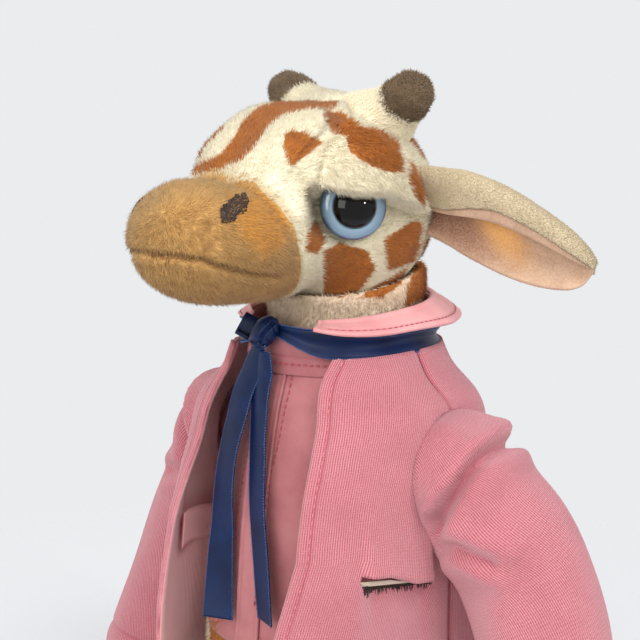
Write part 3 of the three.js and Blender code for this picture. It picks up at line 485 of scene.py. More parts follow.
# %% Eye plastics
def paint_iris(tree):
    """Blue-grey ring, deeper towards its rim, with a painted shadow line at its outer edge and cloudy depth
    under a clear coat.
    """
    spot = attribute(tree, "ring")
    cloud = noise(tree, 320.0, None, 4.0)
    base = mixed(tree, (spot + (cloud - 0.5) * 0.12).step(0.62, 0.98), linear(132, 158, 176),
        linear(92, 120, 144))
    # The dark line at the outer edge is painted shadow.
    return mixed(tree, spot.step(0.9, 0.985), base, linear(52, 74, 98)), cloud, cloud.step(0.2, 0.8, 0.12,
        0.2)


def paint_pupil(tree):
    dust = noise(tree, 900.0, None, 3.0)
    return mixed(tree, dust.step(0.5, 0.9), linear(3, 3, 5), linear(12, 12, 16)), dust, dust.step(0.4, 0.9,
        0.03, 0.1)


def paint_washer(tree):
    haze = noise(tree, 400.0, None, 3.0)
    return mixed(tree, haze.step(0.3, 0.7), linear(226, 226, 222),
        linear(206, 206, 200)), haze, haze.step(0.2, 0.8, 0.4, 0.55)


LOOKS["iris"] = finish("iris_plastic", paint_iris, 0.15, depth=0.00002, strength=0.1, Coat_Weight=1.0,
    Coat_Roughness=0.04)
LOOKS["pupil"] = finish("pupil_plastic", paint_pupil, 0.05, depth=0.00001, strength=0.02,
    Specular_IOR_Level=0.28)
LOOKS["washer"] = finish("washer_plastic", paint_washer, 0.5, depth=0.00005, strength=0.2)
print(len(LOOKS), "materials")

# %% [markdown]
# Most pieces of a stuffed toy are skins: a row of rings joined side by side and closed at both ends. Clothes
# are grids with a front and a back layer. Subdivided boxes could be pushed into shape, but arrays of points
# let one formula place thousands of them, and every point can carry values for its material.

# %% Mesh helpers
def bell(away, width):
    """A soft bump: 1 on its line, and fading with the distance from it."""
    return np.exp(-(away / width) ** 2)


def ramp(value, start, width):
    """Rises evenly from 0 at a start to 1 after a width."""
    return np.clip((value - start) / width, 0, 1)


def smooth_rows(table, places):
    """Rows of a table at given places. Its first column is the place, and the curve meets every row."""
    table = np.asarray(table, float)
    at, rows = table[:, 0], table[:, 1:]
    slopes = np.diff(rows, axis=0) / np.diff(at)[:, None]
    ends = np.vstack([slopes[:1], (slopes[1:] + slopes[:-1]) / 2, slopes[-1:]])
    ends[1:-1][slopes[1:] * slopes[:-1] <= 0] = 0
    places = np.clip(places, at[0], at[-1])
    low = np.clip(np.searchsorted(at, places, side="right") - 1, 0, len(at) - 2)
    wide = (at[low + 1] - at[low])[:, None]
    part = (places - at[low])[:, None] / wide
    start = rows[low] * (1 + 2 * part) * (1 - part) ** 2 + ends[low] * wide * part * (1 - part) ** 2
    finish_part = rows[low + 1] * part ** 2 * (3 - 2 * part) + ends[low + 1] * wide * part ** 2 * (part - 1)
    return start + finish_part


def unit(vectors):
    return vectors / np.maximum(np.linalg.norm(vectors, axis=-1, keepdims=True), 1e-9)


def grid_faces(rows, columns, first=0, closed=False):
    """Quads of a grid whose points run column by column along each row."""
    j, i = np.meshgrid(np.arange(rows - 1), np.arange(columns if closed else columns - 1), indexing="ij")
    a, b = j * columns + i, j * columns + (i + 1) % columns
    return (np.stack([a, b, b + columns, a + columns], axis=-1).reshape(-1, 4) + first).tolist()


def grid_normals(grid):
    across, along = np.gradient(grid, axis=1), np.gradient(grid, axis=0)
    return unit(np.cross(across, along))


print("halfway from 1 to 3:", smooth_rows([(0, 1), (1, 3)], [0.5])[0, 0])

# %% Making and reading pieces
def smooth(piece):
    piece.data.polygons.foreach_set("use_smooth", [True] * len(piece.data.polygons))


def make(name, points, faces, look, body, slot, uv=None, values=None):
    """A piece from points in millimetres. It takes its finish from a material and rides on a body."""
    mesh = bpy.data.meshes.new(name)
    mesh.from_pydata((np.asarray(points) * MM).tolist(), [], faces)
    if uv is not None:
        corners = np.empty(len(mesh.loops), int)
        mesh.loops.foreach_get("vertex_index", corners)
        mesh.uv_layers.new(name="UVMap").data.foreach_set("uv", (np.asarray(uv)[corners] * MM).ravel())
    return settle(bpy.data.objects.new(name, mesh), look, body, values)


def settle(piece, look, body, values=None):
    for key, value in (values or {}).items():
        mark(piece, key, value)
    smooth(piece)
    piece.data.materials.clear()
    piece.data.materials.append(LOOKS[look])
    if piece.name not in bpy.context.scene.collection.objects:
        show(piece)
    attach(piece, body)
    return piece


def mark(piece, key, value):
    value = np.asarray(value, float)
    kind, place = ("FLOAT", "value") if value.ndim == 1 else ("FLOAT_VECTOR", "vector")
    layer = piece.data.attributes.get(key) or piece.data.attributes.new(key, kind, "POINT")
    layer.data.foreach_set(place, value.ravel())


def read(piece):
    """A piece's points in millimetres, and its normals."""
    count = len(piece.data.vertices)
    points, normals = np.empty(count * 3), np.empty(count * 3)
    piece.data.vertices.foreach_get("co", points)
    piece.data.vertex_normals.foreach_get("vector", normals)
    return points.reshape(-1, 3) / MM, normals.reshape(-1, 3)


def write(piece, points):
    piece.data.vertices.foreach_set("co", (points * MM).ravel())
    piece.data.update()


def applied(piece):
    """Bakes a piece's modifiers into its mesh."""
    made = bpy.data.meshes.new_from_object(piece.evaluated_get(bpy.context.evaluated_depsgraph_get()))
    piece.modifiers.clear()
    piece.data = made
    return piece


def soften(piece, voxel, rounds):
    """Rounds a piece's edges by an even mesh and some smoothing."""
    even_mesh = piece.modifiers.new("even", "REMESH")
    even_mesh.mode, even_mesh.voxel_size = "VOXEL", voxel * MM
    calm = piece.modifiers.new("calm", "SMOOTH")
    calm.factor, calm.iterations = 0.6, rounds
    smooth(applied(piece))
    return piece


def soft_copy(node, voxel, rounds):
    """A stuffed piece: its solid's shape in an even mesh with every facet smoothed away."""
    return soften(show(bpy.data.objects.new(node + "_soft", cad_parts[node].data.copy())), voxel, rounds)


print("pieces can be made, marked, read and softened")

# %% Skins and cloths
def skin(rings):
    """Points and faces of a row of rings, closed by a point at each end."""
    rows, count = rings.shape[:2]
    points = np.vstack([rings.reshape(-1, 3), rings[0].mean(0)[None], rings[-1].mean(0)[None]])
    faces = [[a, d, c, b] for a, b, c, d in grid_faces(rows, count, closed=True)]
    last = (rows - 1) * count
    faces += [[i, (i + 1) % count, rows * count] for i in range(count)]
    faces += [[last + (i + 1) % count, last + i, rows * count + 1] for i in range(count)]
    return points, faces


def lengths_of(grid):
    """How far each point of a grid is from its first column and from its first row, along the cloth."""
    across = np.concatenate([np.zeros((len(grid), 1)), np.linalg.norm(np.diff(grid, axis=1),
        axis=2).cumsum(1)], 1)
    along = np.concatenate([np.zeros((1, grid.shape[1])),
        np.linalg.norm(np.diff(grid, axis=0), axis=2).cumsum(0)], 0)
    return across, along


def cloth(grid, thickness, flip=False):
    """A cloth from its outer grid: points, faces and UV in millimetres, with a rim round its edges."""
    rows, columns = grid.shape[:2]
    out = grid_normals(grid) * (-1 if flip else 1)
    points = np.vstack([grid.reshape(-1, 3), (grid - out * thickness).reshape(-1, 3)])
    half = rows * columns
    front, back = grid_faces(rows, columns), grid_faces(rows, columns, half)
    front, back = (front, [f[::-1] for f in back]) if not flip else ([f[::-1] for f in front], back)
    rim = []
    outline = [(0, i) for i in range(columns)] + [(j, columns - 1) for j in range(1, rows)]
    outline += [(rows - 1, i) for i in range(columns - 2, -1, -1)] + [(j, 0) for j in range(rows - 2, 0, -1)]
    spots = [j * columns + i for j, i in outline]
    for a, b in zip(spots, spots[1:] + spots[:1]):
        rim.append([b, a, a + half, b + half] if not flip else [a, b, b + half, a + half])
    uv = np.vstack([np.stack(lengths_of(grid), axis=-1).reshape(-1, 2)] * 2)
    return points, front + back + rim, uv


def both(values):
    """One value per grid point, given to the front and the back layer."""
    return np.concatenate([np.asarray(values).ravel()] * 2)


def wavy(points, size, seed):
    """Slow, smooth waves between -1 and 1, the same on every run."""
    made = np.zeros(len(points))
    random = np.random.default_rng(seed)
    for _ in range(6):
        way = unit(random.normal(size=3)) / size * random.uniform(0.6, 1.5)
        made += np.sin(points @ way * 2 * math.pi + random.uniform(0, 6.28))
    return made / 3.2


print("mesh helpers ready")

# %% [markdown]
# Seams, creases and patches are placed as the camera sees them. Each is a line or an outline of a few pixels,
# written as coordinates. Painting a texture would also work, but a painted mark has no depth. Here every
# point of a piece learns how far it lies from the line, so a seam can be pressed in as well as darkened.
# The side that the camera doesn't see mirrors the side that it does.

# %% Marks seen in the photograph
PIXELS_PER_MM = 3.15


def seen(points, normals, mirrored):
    """Places in the photograph. A mirrored mark is found on both the near and the far side of the toy."""
    other = points[:, :1] > 0 if mirrored == "far" else points[:, :1] < 0
    flip = np.where(other, [-1, 1, 1], [1, 1, 1]) if mirrored else 1
    return photo_place(points * flip), (normals * flip) @ TO_CAMERA


def to_line(points, normals, line, mirrored="near", through=False):
    """Distance from a drawn line, in millimetres across the view; through also marks what faces away."""
    places, facing = seen(points, normals, mirrored)
    best = np.full(len(points), 99.0)
    line = np.asarray(line, float)
    for start, end in zip(line, line[1:]):
        way = end - start
        part = np.clip((places - start) @ way / (way @ way), 0, 1)
        best = np.minimum(best, np.linalg.norm(places - start - part[:, None] * way, axis=1))
    return np.where((facing > 0.04) | through, best / PIXELS_PER_MM, 99.0)


def in_outline(points, normals, outline, mirrored="near"):
    """How far inside a drawn outline each point lies, in millimetres; negative outside it."""
    places, facing = seen(points, normals, mirrored)
    outline = np.asarray(outline, float)
    inside = np.zeros(len(points), bool)
    for (x0, y0), (x1, y1) in zip(outline, np.roll(outline, -1, axis=0)):
        spans = (y0 > places[:, 1]) != (y1 > places[:, 1])
        cross = (x1 - x0) * (places[:, 1] - y0) / (y1 - y0 if y1 != y0 else 1) + x0
        inside ^= spans & (places[:, 0] < cross)
    away = to_line(points, normals, np.vstack([outline, outline[:1]]), mirrored)
    return np.where(facing > 0.04, np.where(inside, away, -away), -9.0)


print("the aim is seen at", photo_place(AIM[None])[0].round(1))

# %% Patches and lines
MIRRORED_PATCHES = [
    [(284, 132), (300, 131), (323, 143), (306, 156), (290, 167), (283, 150)],
    [(322, 113), (341, 112), (361, 128), (380, 130), (398, 142), (402, 171), (388, 172), (366, 164),
     (349, 151), (345, 136), (330, 133)],
    [(407, 160), (416, 168), (423, 184), (423, 205), (414, 196), (407, 178)],
    [(314, 219), (325, 240), (317, 254), (304, 252), (307, 231)],
    [(322, 251), (339, 243), (366, 250), (375, 268), (360, 290), (341, 298), (323, 293)],
    [(383, 239), (412, 221), (421, 223), (419, 245), (413, 262), (386, 271)],
    [(356, 299), (381, 282), (408, 266), (401, 284), (382, 297)],
    [(423, 240), (434, 244), (434, 274), (424, 297), (403, 309), (407, 286), (419, 260)],
]
STRIPE = [(188, 177), (197, 166), (220, 156), (234, 138), (243, 121), (258, 108), (282, 101), (312, 99),
    (337, 101), (336, 109), (304, 110), (282, 116), (267, 128), (256, 146), (240, 162), (216, 173)]
BACK_SPOTS = [(128, 42, 8), (134, 8, 9), (132, -22, 8), (158, 26, 7), (160, -8, 8), (166, -34, 7),
    (104, 62, 6), (150, 62, 7)]
HEAD = np.array([0.0, -5.0, 209.0])


def patch_of(points, normals):
    """How far inside a russet patch each point of the head or neck lies, in millimetres."""
    best = np.full(len(points), -9.0)
    for outline in MIRRORED_PATCHES:
        best = np.maximum(best, in_outline(points, normals, outline))
    best = np.maximum(best, in_outline(points, normals, STRIPE, mirrored=None))
    away = points - HEAD
    for azimuth, rise, radius in BACK_SPOTS:
        middle = direction(math.radians(azimuth), math.radians(rise))
        turn = unit(away * np.where(away[:, :1] < 0, [-1, 1, 1], [1, 1, 1])) @ middle
        gap = np.arccos(np.clip(turn, -1, 1)) * 33
        best = np.maximum(best, radius - gap + wavy(points, 14, azimuth) * 1.6)
    return best


MOUTH = [(131, 250), (143, 254), (171, 257), (200, 262), (225, 271), (257, 279), (281, 280)]
DART = [(202, 262), (200, 240), (206, 222)]
FAR_BROW = [(212, 146), (226, 126), (246, 109), (272, 99), (296, 97)]
BROW_FOLD = [(284, 169), (300, 152), (326, 131), (352, 128), (350, 165), (332, 192), (317, 199), (308, 187),
    (298, 176)]
CHEEK_BUMP = [(276, 186), (290, 198), (298, 212)]
CHEEK_CREASE = [(289, 166), (309, 186), (316, 204), (318, 222)]
OUTER_RIDGE = [(384, 196), (399, 200), (412, 205), (422, 210)]
OUTER_CREASE = [(383, 204), (397, 209), (410, 213), (423, 217)]
NOSTRIL, NOSTRIL_LENGTH, NOSTRIL_HEIGHT, NOSTRIL_TURN = (234, 209), 33, 15, math.radians(38)
print(len(MIRRORED_PATCHES) + len(BACK_SPOTS), "mirrored patches and one stripe")

# %% [markdown]
# Hair and stitches are one small shape repeated thousands of times, which is what geometry nodes are for.
# Hair particles would be quick to comb but can't be exported as a mesh. The fur group scatters three-sided
# cones over a surface, lays them along the combing direction and keeps their seed. The stitch group sets
# short beads along a line. Both are made real and turned into a plain mesh before anything else uses them.

# %% Pile and stitches
def node_group(name, inputs, build):
    tree = bpy.data.node_groups.new(name, "GeometryNodeTree")
    tree.interface.new_socket("Geometry", in_out="INPUT", socket_type="NodeSocketGeometry")
    for label, kind in inputs:
        tree.interface.new_socket(label, in_out="INPUT", socket_type=kind)
    tree.interface.new_socket("Geometry", in_out="OUTPUT", socket_type="NodeSocketGeometry")
    start, end = tree.nodes.new("NodeGroupInput"), tree.nodes.new("NodeGroupOutput")
    given = {item.name: Sum(tree, start.outputs[item.name]) for item in tree.interface.items_tree
        if item.in_out == "INPUT"}
    join(tree, build(tree, given), end.inputs[0])
    return tree


def vector_math(tree, kind, first, second):
    made = put(tree, "ShaderNodeVectorMath", 0, {"operation": kind})
    join(tree, first, made.socket.node.inputs[0])
    join(tree, second, made.socket.node.inputs["Scale" if kind == "SCALE" else 1])
    return made


def build_fur(tree, given):
    grow = put(tree, "GeometryNodeInputNamedAttribute", 0, {"data_type": "FLOAT"}, Name="grow")
    pile = put(tree, "GeometryNodeInputNamedAttribute", 0, {"data_type": "FLOAT_VECTOR"}, Name="pile")
    spread = put(tree, "GeometryNodeDistributePointsOnFaces", 0, None, Mesh=given["Geometry"],
        Seed=given["Seed"], Density=given["Density"] * grow)
    normal = Sum(tree, spread.socket.node.outputs["Normal"])
    stray = put(tree, "FunctionNodeRandomValue", 0, {"data_type": "FLOAT_VECTOR"}, Min=(-1, -1, -1),
        Max=(1, 1, 1), Seed=given["Seed"])
    way = vector_math(tree, "ADD", normal, vector_math(tree, "SCALE", pile, given["Lay"]))
    way = vector_math(tree, "ADD", way, vector_math(tree, "SCALE", stray, given["Stray"]))
    turn = put(tree, "FunctionNodeAlignRotationToVector", 0, {"axis": "Z"}, Vector=way)
    hair = put(tree, "GeometryNodeMeshCone", "Mesh", {"fill_type": "NONE"}, Vertices=3, Side_Segments=1,
        Radius_Top=0.0, Radius_Bottom=given["Width"] * 0.5, Depth=given["Length"])
    height = tree.nodes.new("ShaderNodeSeparateXYZ")
    tree.links.new(tree.nodes.new("GeometryNodeInputPosition").outputs[0], height.inputs[0])
    # tip runs from 0 at the root to 1 at the tip; the pile tone uses it for painted shade at the root.
    stored = put(tree, "GeometryNodeStoreNamedAttribute", 0, {"data_type": "FLOAT"}, Geometry=hair,
        Name="tip", Value=Sum(tree, height.outputs[2]).math("DIVIDE", given["Length"]))
    long = put(tree, "FunctionNodeRandomValue", 1, {"data_type": "FLOAT"}, Seed=given["Seed"])
    scale = tree.nodes.new("ShaderNodeCombineXYZ")
    for place, value in zip(scale.inputs, (1.0, 1.0, long * 0.55 + 0.6)):
        join(tree, value, place)
    set_on = put(tree, "GeometryNodeInstanceOnPoints", 0, None, Points=spread, Instance=stored, Rotation=turn,
                 Scale=Sum(tree, scale.outputs[0]))
    hairs = put(tree, "GeometryNodeRealizeInstances", 0, None, Geometry=set_on)
    together = tree.nodes.new("GeometryNodeJoinGeometry")
    tree.links.new(given["Geometry"].socket, together.inputs[0])
    tree.links.new(hairs.socket, together.inputs[0])
    return put(tree, "GeometryNodeSetMaterial", 0, None, Geometry=Sum(tree, together.outputs[0]),
        Material=given["Material"])


print("fur is a cone with three sides")

# %% Stitch group
def build_stitches(tree, given):
    line = put(tree, "GeometryNodeMeshToCurve", 0, None, Mesh=given["Geometry"])
    even = put(tree, "GeometryNodeResampleCurve", 0, {"mode": "LENGTH"}, Curve=line, Length=given["Pitch"])
    tangent = put(tree, "GeometryNodeInputTangent")
    turn = put(tree, "FunctionNodeAlignRotationToVector", 0, {"axis": "Z"}, Vector=tangent)
    bead = put(tree, "GeometryNodeMeshUVSphere", "Mesh", None, Segments=6, Rings=5, Radius=0.5)
    size = tree.nodes.new("ShaderNodeCombineXYZ")
    for place, value in zip(size.inputs, (given["Width"], given["Width"], given["Length"])):
        join(tree, value, place)
    beads = put(tree, "GeometryNodeInstanceOnPoints", 0, None, Points=even, Instance=bead, Rotation=turn,
                Scale=Sum(tree, size.outputs[0]))
    real = put(tree, "GeometryNodeRealizeInstances", 0, None, Geometry=beads)
    return put(tree, "GeometryNodeSetMaterial", 0, None, Geometry=real, Material=given["Material"])


NUMBER, WHOLE, FINISH = "NodeSocketFloat", "NodeSocketInt", "NodeSocketMaterial"
FUR = node_group("fur", [("Density", NUMBER), ("Length", NUMBER), ("Width", NUMBER), ("Lay", NUMBER),
    ("Stray", NUMBER), ("Seed", WHOLE), ("Material", FINISH)], build_fur)
STITCHES = node_group("stitches", [("Pitch", NUMBER), ("Length", NUMBER), ("Width", NUMBER),
    ("Material", FINISH)], build_stitches)


def run_group(piece, tree, **values):
    step = piece.modifiers.new(tree.name, "NODES")
    step.node_group = tree
    for item in tree.interface.items_tree:
        if item.in_out == "INPUT" and item.name in values:
            step[item.identifier] = values[item.name]
    return applied(piece)


print("node groups:", FUR.name, STITCHES.name)

# %% Growing pile and sewing stitches
FLOOR_GAP = 0.03


def grow_pile(piece, look, length, pile, density=2.6, width=0.34, lay=1.2, stray=0.35, seed=1, grow=None):
    """Sets short hairs on a piece. The pile is combed along a direction, or along one for each point."""
    points, normals = read(piece)
    pile = np.broadcast_to(np.asarray(pile, float), points.shape)
    flat = unit(pile - normals * (pile * normals).sum(1, keepdims=True))
    mark(piece, "pile", flat)
    mark(piece, "grow", np.ones(len(points)) if grow is None else grow)
    # The skin gets tip 0, so under the hairs it takes the painted root shade.
    mark(piece, "tip", np.zeros(len(points)))
    run_group(piece, FUR, Density=density / MM / MM, Length=length * MM, Width=width * MM, Lay=lay,
        Stray=stray, Seed=seed, Material=LOOKS[look])
    points, _ = read(piece)
    write(piece, np.maximum(points, [-1000, -1000, FLOOR_GAP]))
    smooth(piece)
    piece.data.materials.clear()
    piece.data.materials.append(LOOKS[look])
    return piece


def stitch(name, lines, look, body, pitch=2.6, length=1.9, width=0.42):
    """A row of stitches along each line of points."""
    points, edges = [], []
    for line in lines:
        first = len(points)
        points += [tuple(p * MM) for p in np.asarray(line)]
        edges += [(i, i + 1) for i in range(first, len(points) - 1)]
    mesh = bpy.data.meshes.new(name)
    mesh.from_pydata(points, edges, [])
    piece = bpy.data.objects.new(name, mesh)
    show(piece)
    run_group(piece, STITCHES, Pitch=pitch * MM, Length=length * MM, Width=width * MM, Material=LOOKS[look])
    return settle(piece, look, body)


print("no hair goes under", FLOOR_GAP, "mm")

# %% [markdown]
# The head is sewn from two skins: a round cranium that runs forward into a squarer brow, and a golden muzzle
# that closes it in front. It could be sculpted, but the seam between them has to be a clean ring that both
# share. So each is a row of rings along the snout, from the widths and heights that the photograph gives.
# Eye beds, brows and the mouth line are then pressed into the skin, as thread pulls on stuffing.

# %% Head and muzzle shapes
CRANIUM = 33.0
BRIDGE = [(12.21, 0, 0, 30.66, 30.66, 2.4), (21.3, 2.98, 3.2, 28.05, 28.4, 2.9),
    (32.2, -1.28, 14.9, 25.1, 25.4, 2.7), (42.5, -8.5, 27, 24, 21.3, 2.2)]
MUZZLE = [(0, 1, 0.905, 1.026), (0.22, 0.66, 0.98, 0.985), (0.46, 0.33, 0.97, 0.94),
    (0.69, 0.11, 0.88, 0.84), (0.875, 0, 0.66, 0.61), (0.97, 0, 0.36, 0.33), (1, 0, 0, 0)]
MUZZLE_LENGTH, MUZZLE_HALF, MUZZLE_HEIGHT, SEAM_TILT = 35.5, 26.5, 20.75, 27
SEAM_OVERLAP, MUZZLE_LIFT = 3.2, 1.5


def snout_rings(forward, rise, tilt, half, height, square, count):
    angle = np.linspace(0, 2 * math.pi, count, endpoint=False)[None]
    bend = np.where(np.cos(angle) > 0, 2 / square[:, None], 1.0)
    up = height[:, None] * np.sign(np.cos(angle)) * np.abs(np.cos(angle)) ** bend
    across = half[:, None] * np.sign(np.sin(angle)) * np.abs(np.sin(angle)) ** bend
    lean = np.radians(tilt)[:, None]
    x, f, z = across, forward[:, None] + up * np.sin(lean), rise[:, None] + up * np.cos(lean)
    return np.stack([x, -f, z], axis=-1) + HEAD


def head_rings(count=176):
    polar = np.radians(np.linspace(2, 111.7, 62))
    radius = CRANIUM * np.sin(polar)
    square = 2 + 0.4 * np.clip((polar - math.radians(97)) / math.radians(14.7), 0, 1)
    still = np.zeros(len(polar))
    back = snout_rings(-CRANIUM * np.cos(polar), still, still, radius, radius, square, count)
    forward = np.linspace(BRIDGE[0][0], BRIDGE[-1][0], 32)[1:]
    rise, tilt, half, height, square = smooth_rows(BRIDGE, forward).T
    tuck = 1 - 0.035 * ramp(forward, 40.5, 2) ** 2
    return np.vstack([back, snout_rings(forward, rise, tilt, half * tuck, height * tuck, square, count)])


def seam_overlap(z):
    """How far the muzzle's skin laps over the head's: most on top, little at the sides and below."""
    return SEAM_OVERLAP * (0.25 + 0.75 * ramp(z, 203, 14))


def muzzle_rings(count=176):
    """The muzzle's skin starts a little behind its seam, over the head's skin, and its front lifts."""
    back = np.linspace(BRIDGE[-1][0] - SEAM_OVERLAP, BRIDGE[-1][0], 7)[:-1]
    rise, tilt, half, height, square = smooth_rows(BRIDGE, back).T
    cuff = snout_rings(back, rise, tilt, half, height, square, count)
    turn = np.linspace(0, math.pi / 2, 46)[:-1]
    share = np.sin(turn)
    table = [(math.asin(row[0]), *row[1:]) for row in MUZZLE]
    tilt, half, height = smooth_rows(table, turn).T
    lean = math.radians(SEAM_TILT)
    forward = 42.5 + 0.4 * math.cos(lean) + share * MUZZLE_LENGTH
    rise = -8.5 - 0.4 * math.sin(lean) * (1 - share) + MUZZLE_LIFT * np.clip(share / 0.6, 0, 1)
    front = snout_rings(forward, rise, tilt * SEAM_TILT, half * MUZZLE_HALF, height * MUZZLE_HEIGHT,
        2.2 - 0.2 * share, count)
    share = seam_overlap(cuff[..., 2:]) / SEAM_OVERLAP
    return np.vstack([front[:1] + (cuff - front[:1]) * share, front])


SEAM_FORWARD, SEAM_HEIGHT = 42.5, 200.5


def behind_seam(points):
    """How far each point lies behind the slanted ring where the muzzle is sewn on, in millimetres."""
    return SEAM_FORWARD + np.tan(math.radians(SEAM_TILT)) * (points[:, 2] - SEAM_HEIGHT) - (-points[:, 1]
        + HEAD[1])


EYE_SEAT, EYE_TURN, EYE_RISE = CRANIUM - 2, math.radians(52), math.radians(4)


def eye_axis(side):
    return direction(EYE_TURN, EYE_RISE) * [side, 1, 1]


def press_eye_beds(points):
    """Flattens the skin under each eye and rolls it up round the rim."""
    for side in (1, -1):
        axis = eye_axis(side)
        out = (points - HEAD) @ axis
        around = np.linalg.norm(points - HEAD - out[:, None] * axis, axis=1)
        bed = EYE_SEAT - 0.2 + np.clip(around - 10.6, 0, 99) ** 1.5 * 0.8
        press = np.clip(out - bed, 0, None) * (out > 15)
        points = points - press[:, None] * axis
    return points


print("rings:", head_rings().shape[:2], "and", muzzle_rings().shape[:2])

# %% Head
head_points, head_faces = skin(head_rings())
head_points = press_eye_beds(head_points)
head = make("head_skin", head_points, head_faces, "cream", "head_unit", "cream_plush")
points, normals = read(head)
print("head has", len(points), "points, and its normals point out:",
    bool(((points - HEAD) * normals).sum() > 0))
cheek = to_line(points, normals, CHEEK_BUMP)
bump = 1.7 * bell(cheek, 4.2) - 0.9 * bell(to_line(points, normals, CHEEK_CREASE), 1.4)
fold = np.clip(in_outline(points, normals, BROW_FOLD) / 3 + 0.35, 0, 1)
bump = bump + 2.6 * fold ** 2 * (3 - 2 * fold)
bump = bump + 2.4 * bell(to_line(points, normals, FAR_BROW, "far"), 7)
bump = bump + 2.6 * bell(to_line(points, normals, OUTER_RIDGE), 2.8)
bump = bump - 2.2 * bell(to_line(points, normals, OUTER_CREASE), 1.5)
points = points + normals * (wavy(points, 26, 3) * 0.25 + bump - 0.9 * ramp(points[:, 2], 182, 9))[:, None]
write(head, points)
mark(head, "patch", patch_of(points, normals))
from_seam = behind_seam(points)
# groove: painted shade along the seam where the muzzle laps over the head.
mark(head, "groove", np.clip(1 - (from_seam - seam_overlap(points[:, 2])) / 1.6, 0, 1))
hidden = np.linalg.norm(points - HEAD, axis=1) < 34
under = hidden & (points[:, 2] < 192) & (np.hypot(points[:, 0], points[:, 1]) < 25)
beds = np.zeros(len(points), bool)
for side in (1, -1):
    out = (points - HEAD) @ eye_axis(side)
    beds |= (out > 15) & (np.linalg.norm(points - HEAD - out[:, None] * eye_axis(side), axis=1) < 9.8)
bare = np.clip(1 - cheek / 7, 0, 0.75)
grow_pile(head, "cream", 1.9, (0, 1, 0.35), density=2.6, width=0.32,
    grow=(~(under | beds | (from_seam < seam_overlap(points[:, 2])))) * (1 - bare), seed=11)
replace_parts(head, "head")
print("head:", len(head.data.polygons), "faces")

# %% Muzzle
muzzle = make("muzzle_skin", *skin(muzzle_rings()), "tan", "head_unit", "tan_plush")
points, normals = read(muzzle)
mouth = to_line(points, normals, MOUTH)
dart = to_line(points, normals, DART)
from_seam = behind_seam(points)
press = 1.3 - 0.85 * np.clip((from_seam + 2) / 4, 0, 1) + 1.6 * bell(mouth, 1.3) + 0.4 * bell(dart, 1.0)
below = np.clip((200 - points[:, 2]) / 6, 0, 1) * bell(mouth - 3.5, 3.0)
points = points - normals * (press + below * 0.5)[:, None] + normals * (wavy(points, 18, 5) * 0.3)[:, None]
write(muzzle, points)
# groove: painted shade along the mouth line and the dart.
mark(muzzle, "groove", np.clip(0.8 * bell(mouth, 0.9) + 0.2 * bell(dart, 0.8), 0, 1))
cheek = in_outline(points, normals, [(222, 196), (262, 190), (292, 214), (288, 244), (262, 262), (240, 240)])
mark(muzzle, "blush", np.clip(cheek / 5 + 0.35, 0, 1) * 0.75)
bare_muzzle = show(bpy.data.objects.new("bare_muzzle", muzzle.data.copy()))
bpy.context.view_layer.update()
points, _ = read(muzzle)
from_seam = behind_seam(points)
grown = np.clip((seam_overlap(points[:, 2]) - from_seam) / 2.0 - 0.3, 0.1, 1)
grow_pile(muzzle, "tan", 2.4, (0, 0.9, -0.45), density=3.6, width=0.3, lay=1.4, stray=0.45, seed=12,
    grow=grown)
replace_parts(muzzle, "muzzle")
print("muzzle:", len(muzzle.data.polygons), "faces")

# %% [markdown]
# A safety eye is a flat glossy disc with a dark dome, on a post that a washer holds inside the head. It is
# turned on a lathe, so a profile of radius and height makes it here too. The lid is a padded flap that hangs
# over it from the brow, and its pressed edge casts the shadow that gives the toy its tired look.

# %% Eyes and lids
def lathe(profile, centre, axis, sides=72):
    """Rings turned round an axis, from (radius, height) pairs, as a closed skin."""
    across = unit(np.cross(axis, [0.0, 0.0, 1.0]))
    up = np.cross(axis, across)
    angle = np.linspace(0, 2 * math.pi, sides, endpoint=False)[:, None]
    rings = [centre + axis * h + r * (np.cos(angle) * across + np.sin(angle) * up) for r, h in profile]
    return skin(np.stack(rings)[:, ::-1])


def arc(radius, low, high, rise, base, steps=14):
    """Profile of a dome between two turns in degrees."""
    turns = np.radians(np.linspace(low, high, steps))
    return [(radius * math.cos(t), base + rise * math.sin(t)) for t in turns]


SIDES = (("left", 1), ("right", -1))
IRIS_RADIUS = 10.3
for side_name, side in SIDES:
    axis = eye_axis(side)
    centre = HEAD + axis * (EYE_SEAT + 0.4)
    ring = [(9.6, 0), (10.2, 0.5), (10.3, 1.2), (10.2, 2.0), (9.9, 2.6), (9.3, 3.1), (8.4, 3.5),
        (7.4, 3.75), (6.75, 3.8), (6.6, 3.5), (5, 3.2)]
    points, faces = lathe(ring, centre, axis)
    around = np.linalg.norm((points - centre) - ((points - centre) @ axis)[:, None] * axis, axis=1)
    iris = make(side_name + "_iris", points, faces, "iris", "head_unit", "iris",
        values={"ring": around / IRIS_RADIUS})
    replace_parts(iris, side_name + "_eye_iris")
    dome = [(6.4, 3.3), (6.5, 3.9), *arc(6.5, 4, 86, 3.05, 4.0)]
    pupil = make(side_name + "_pupil", *lathe(dome, centre, axis), "pupil", "head_unit", "pupil")
    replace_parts(pupil, side_name + "_eye_pupil")
    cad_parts[side_name + "_eye_washer"].data.materials[0] = LOOKS["washer"]

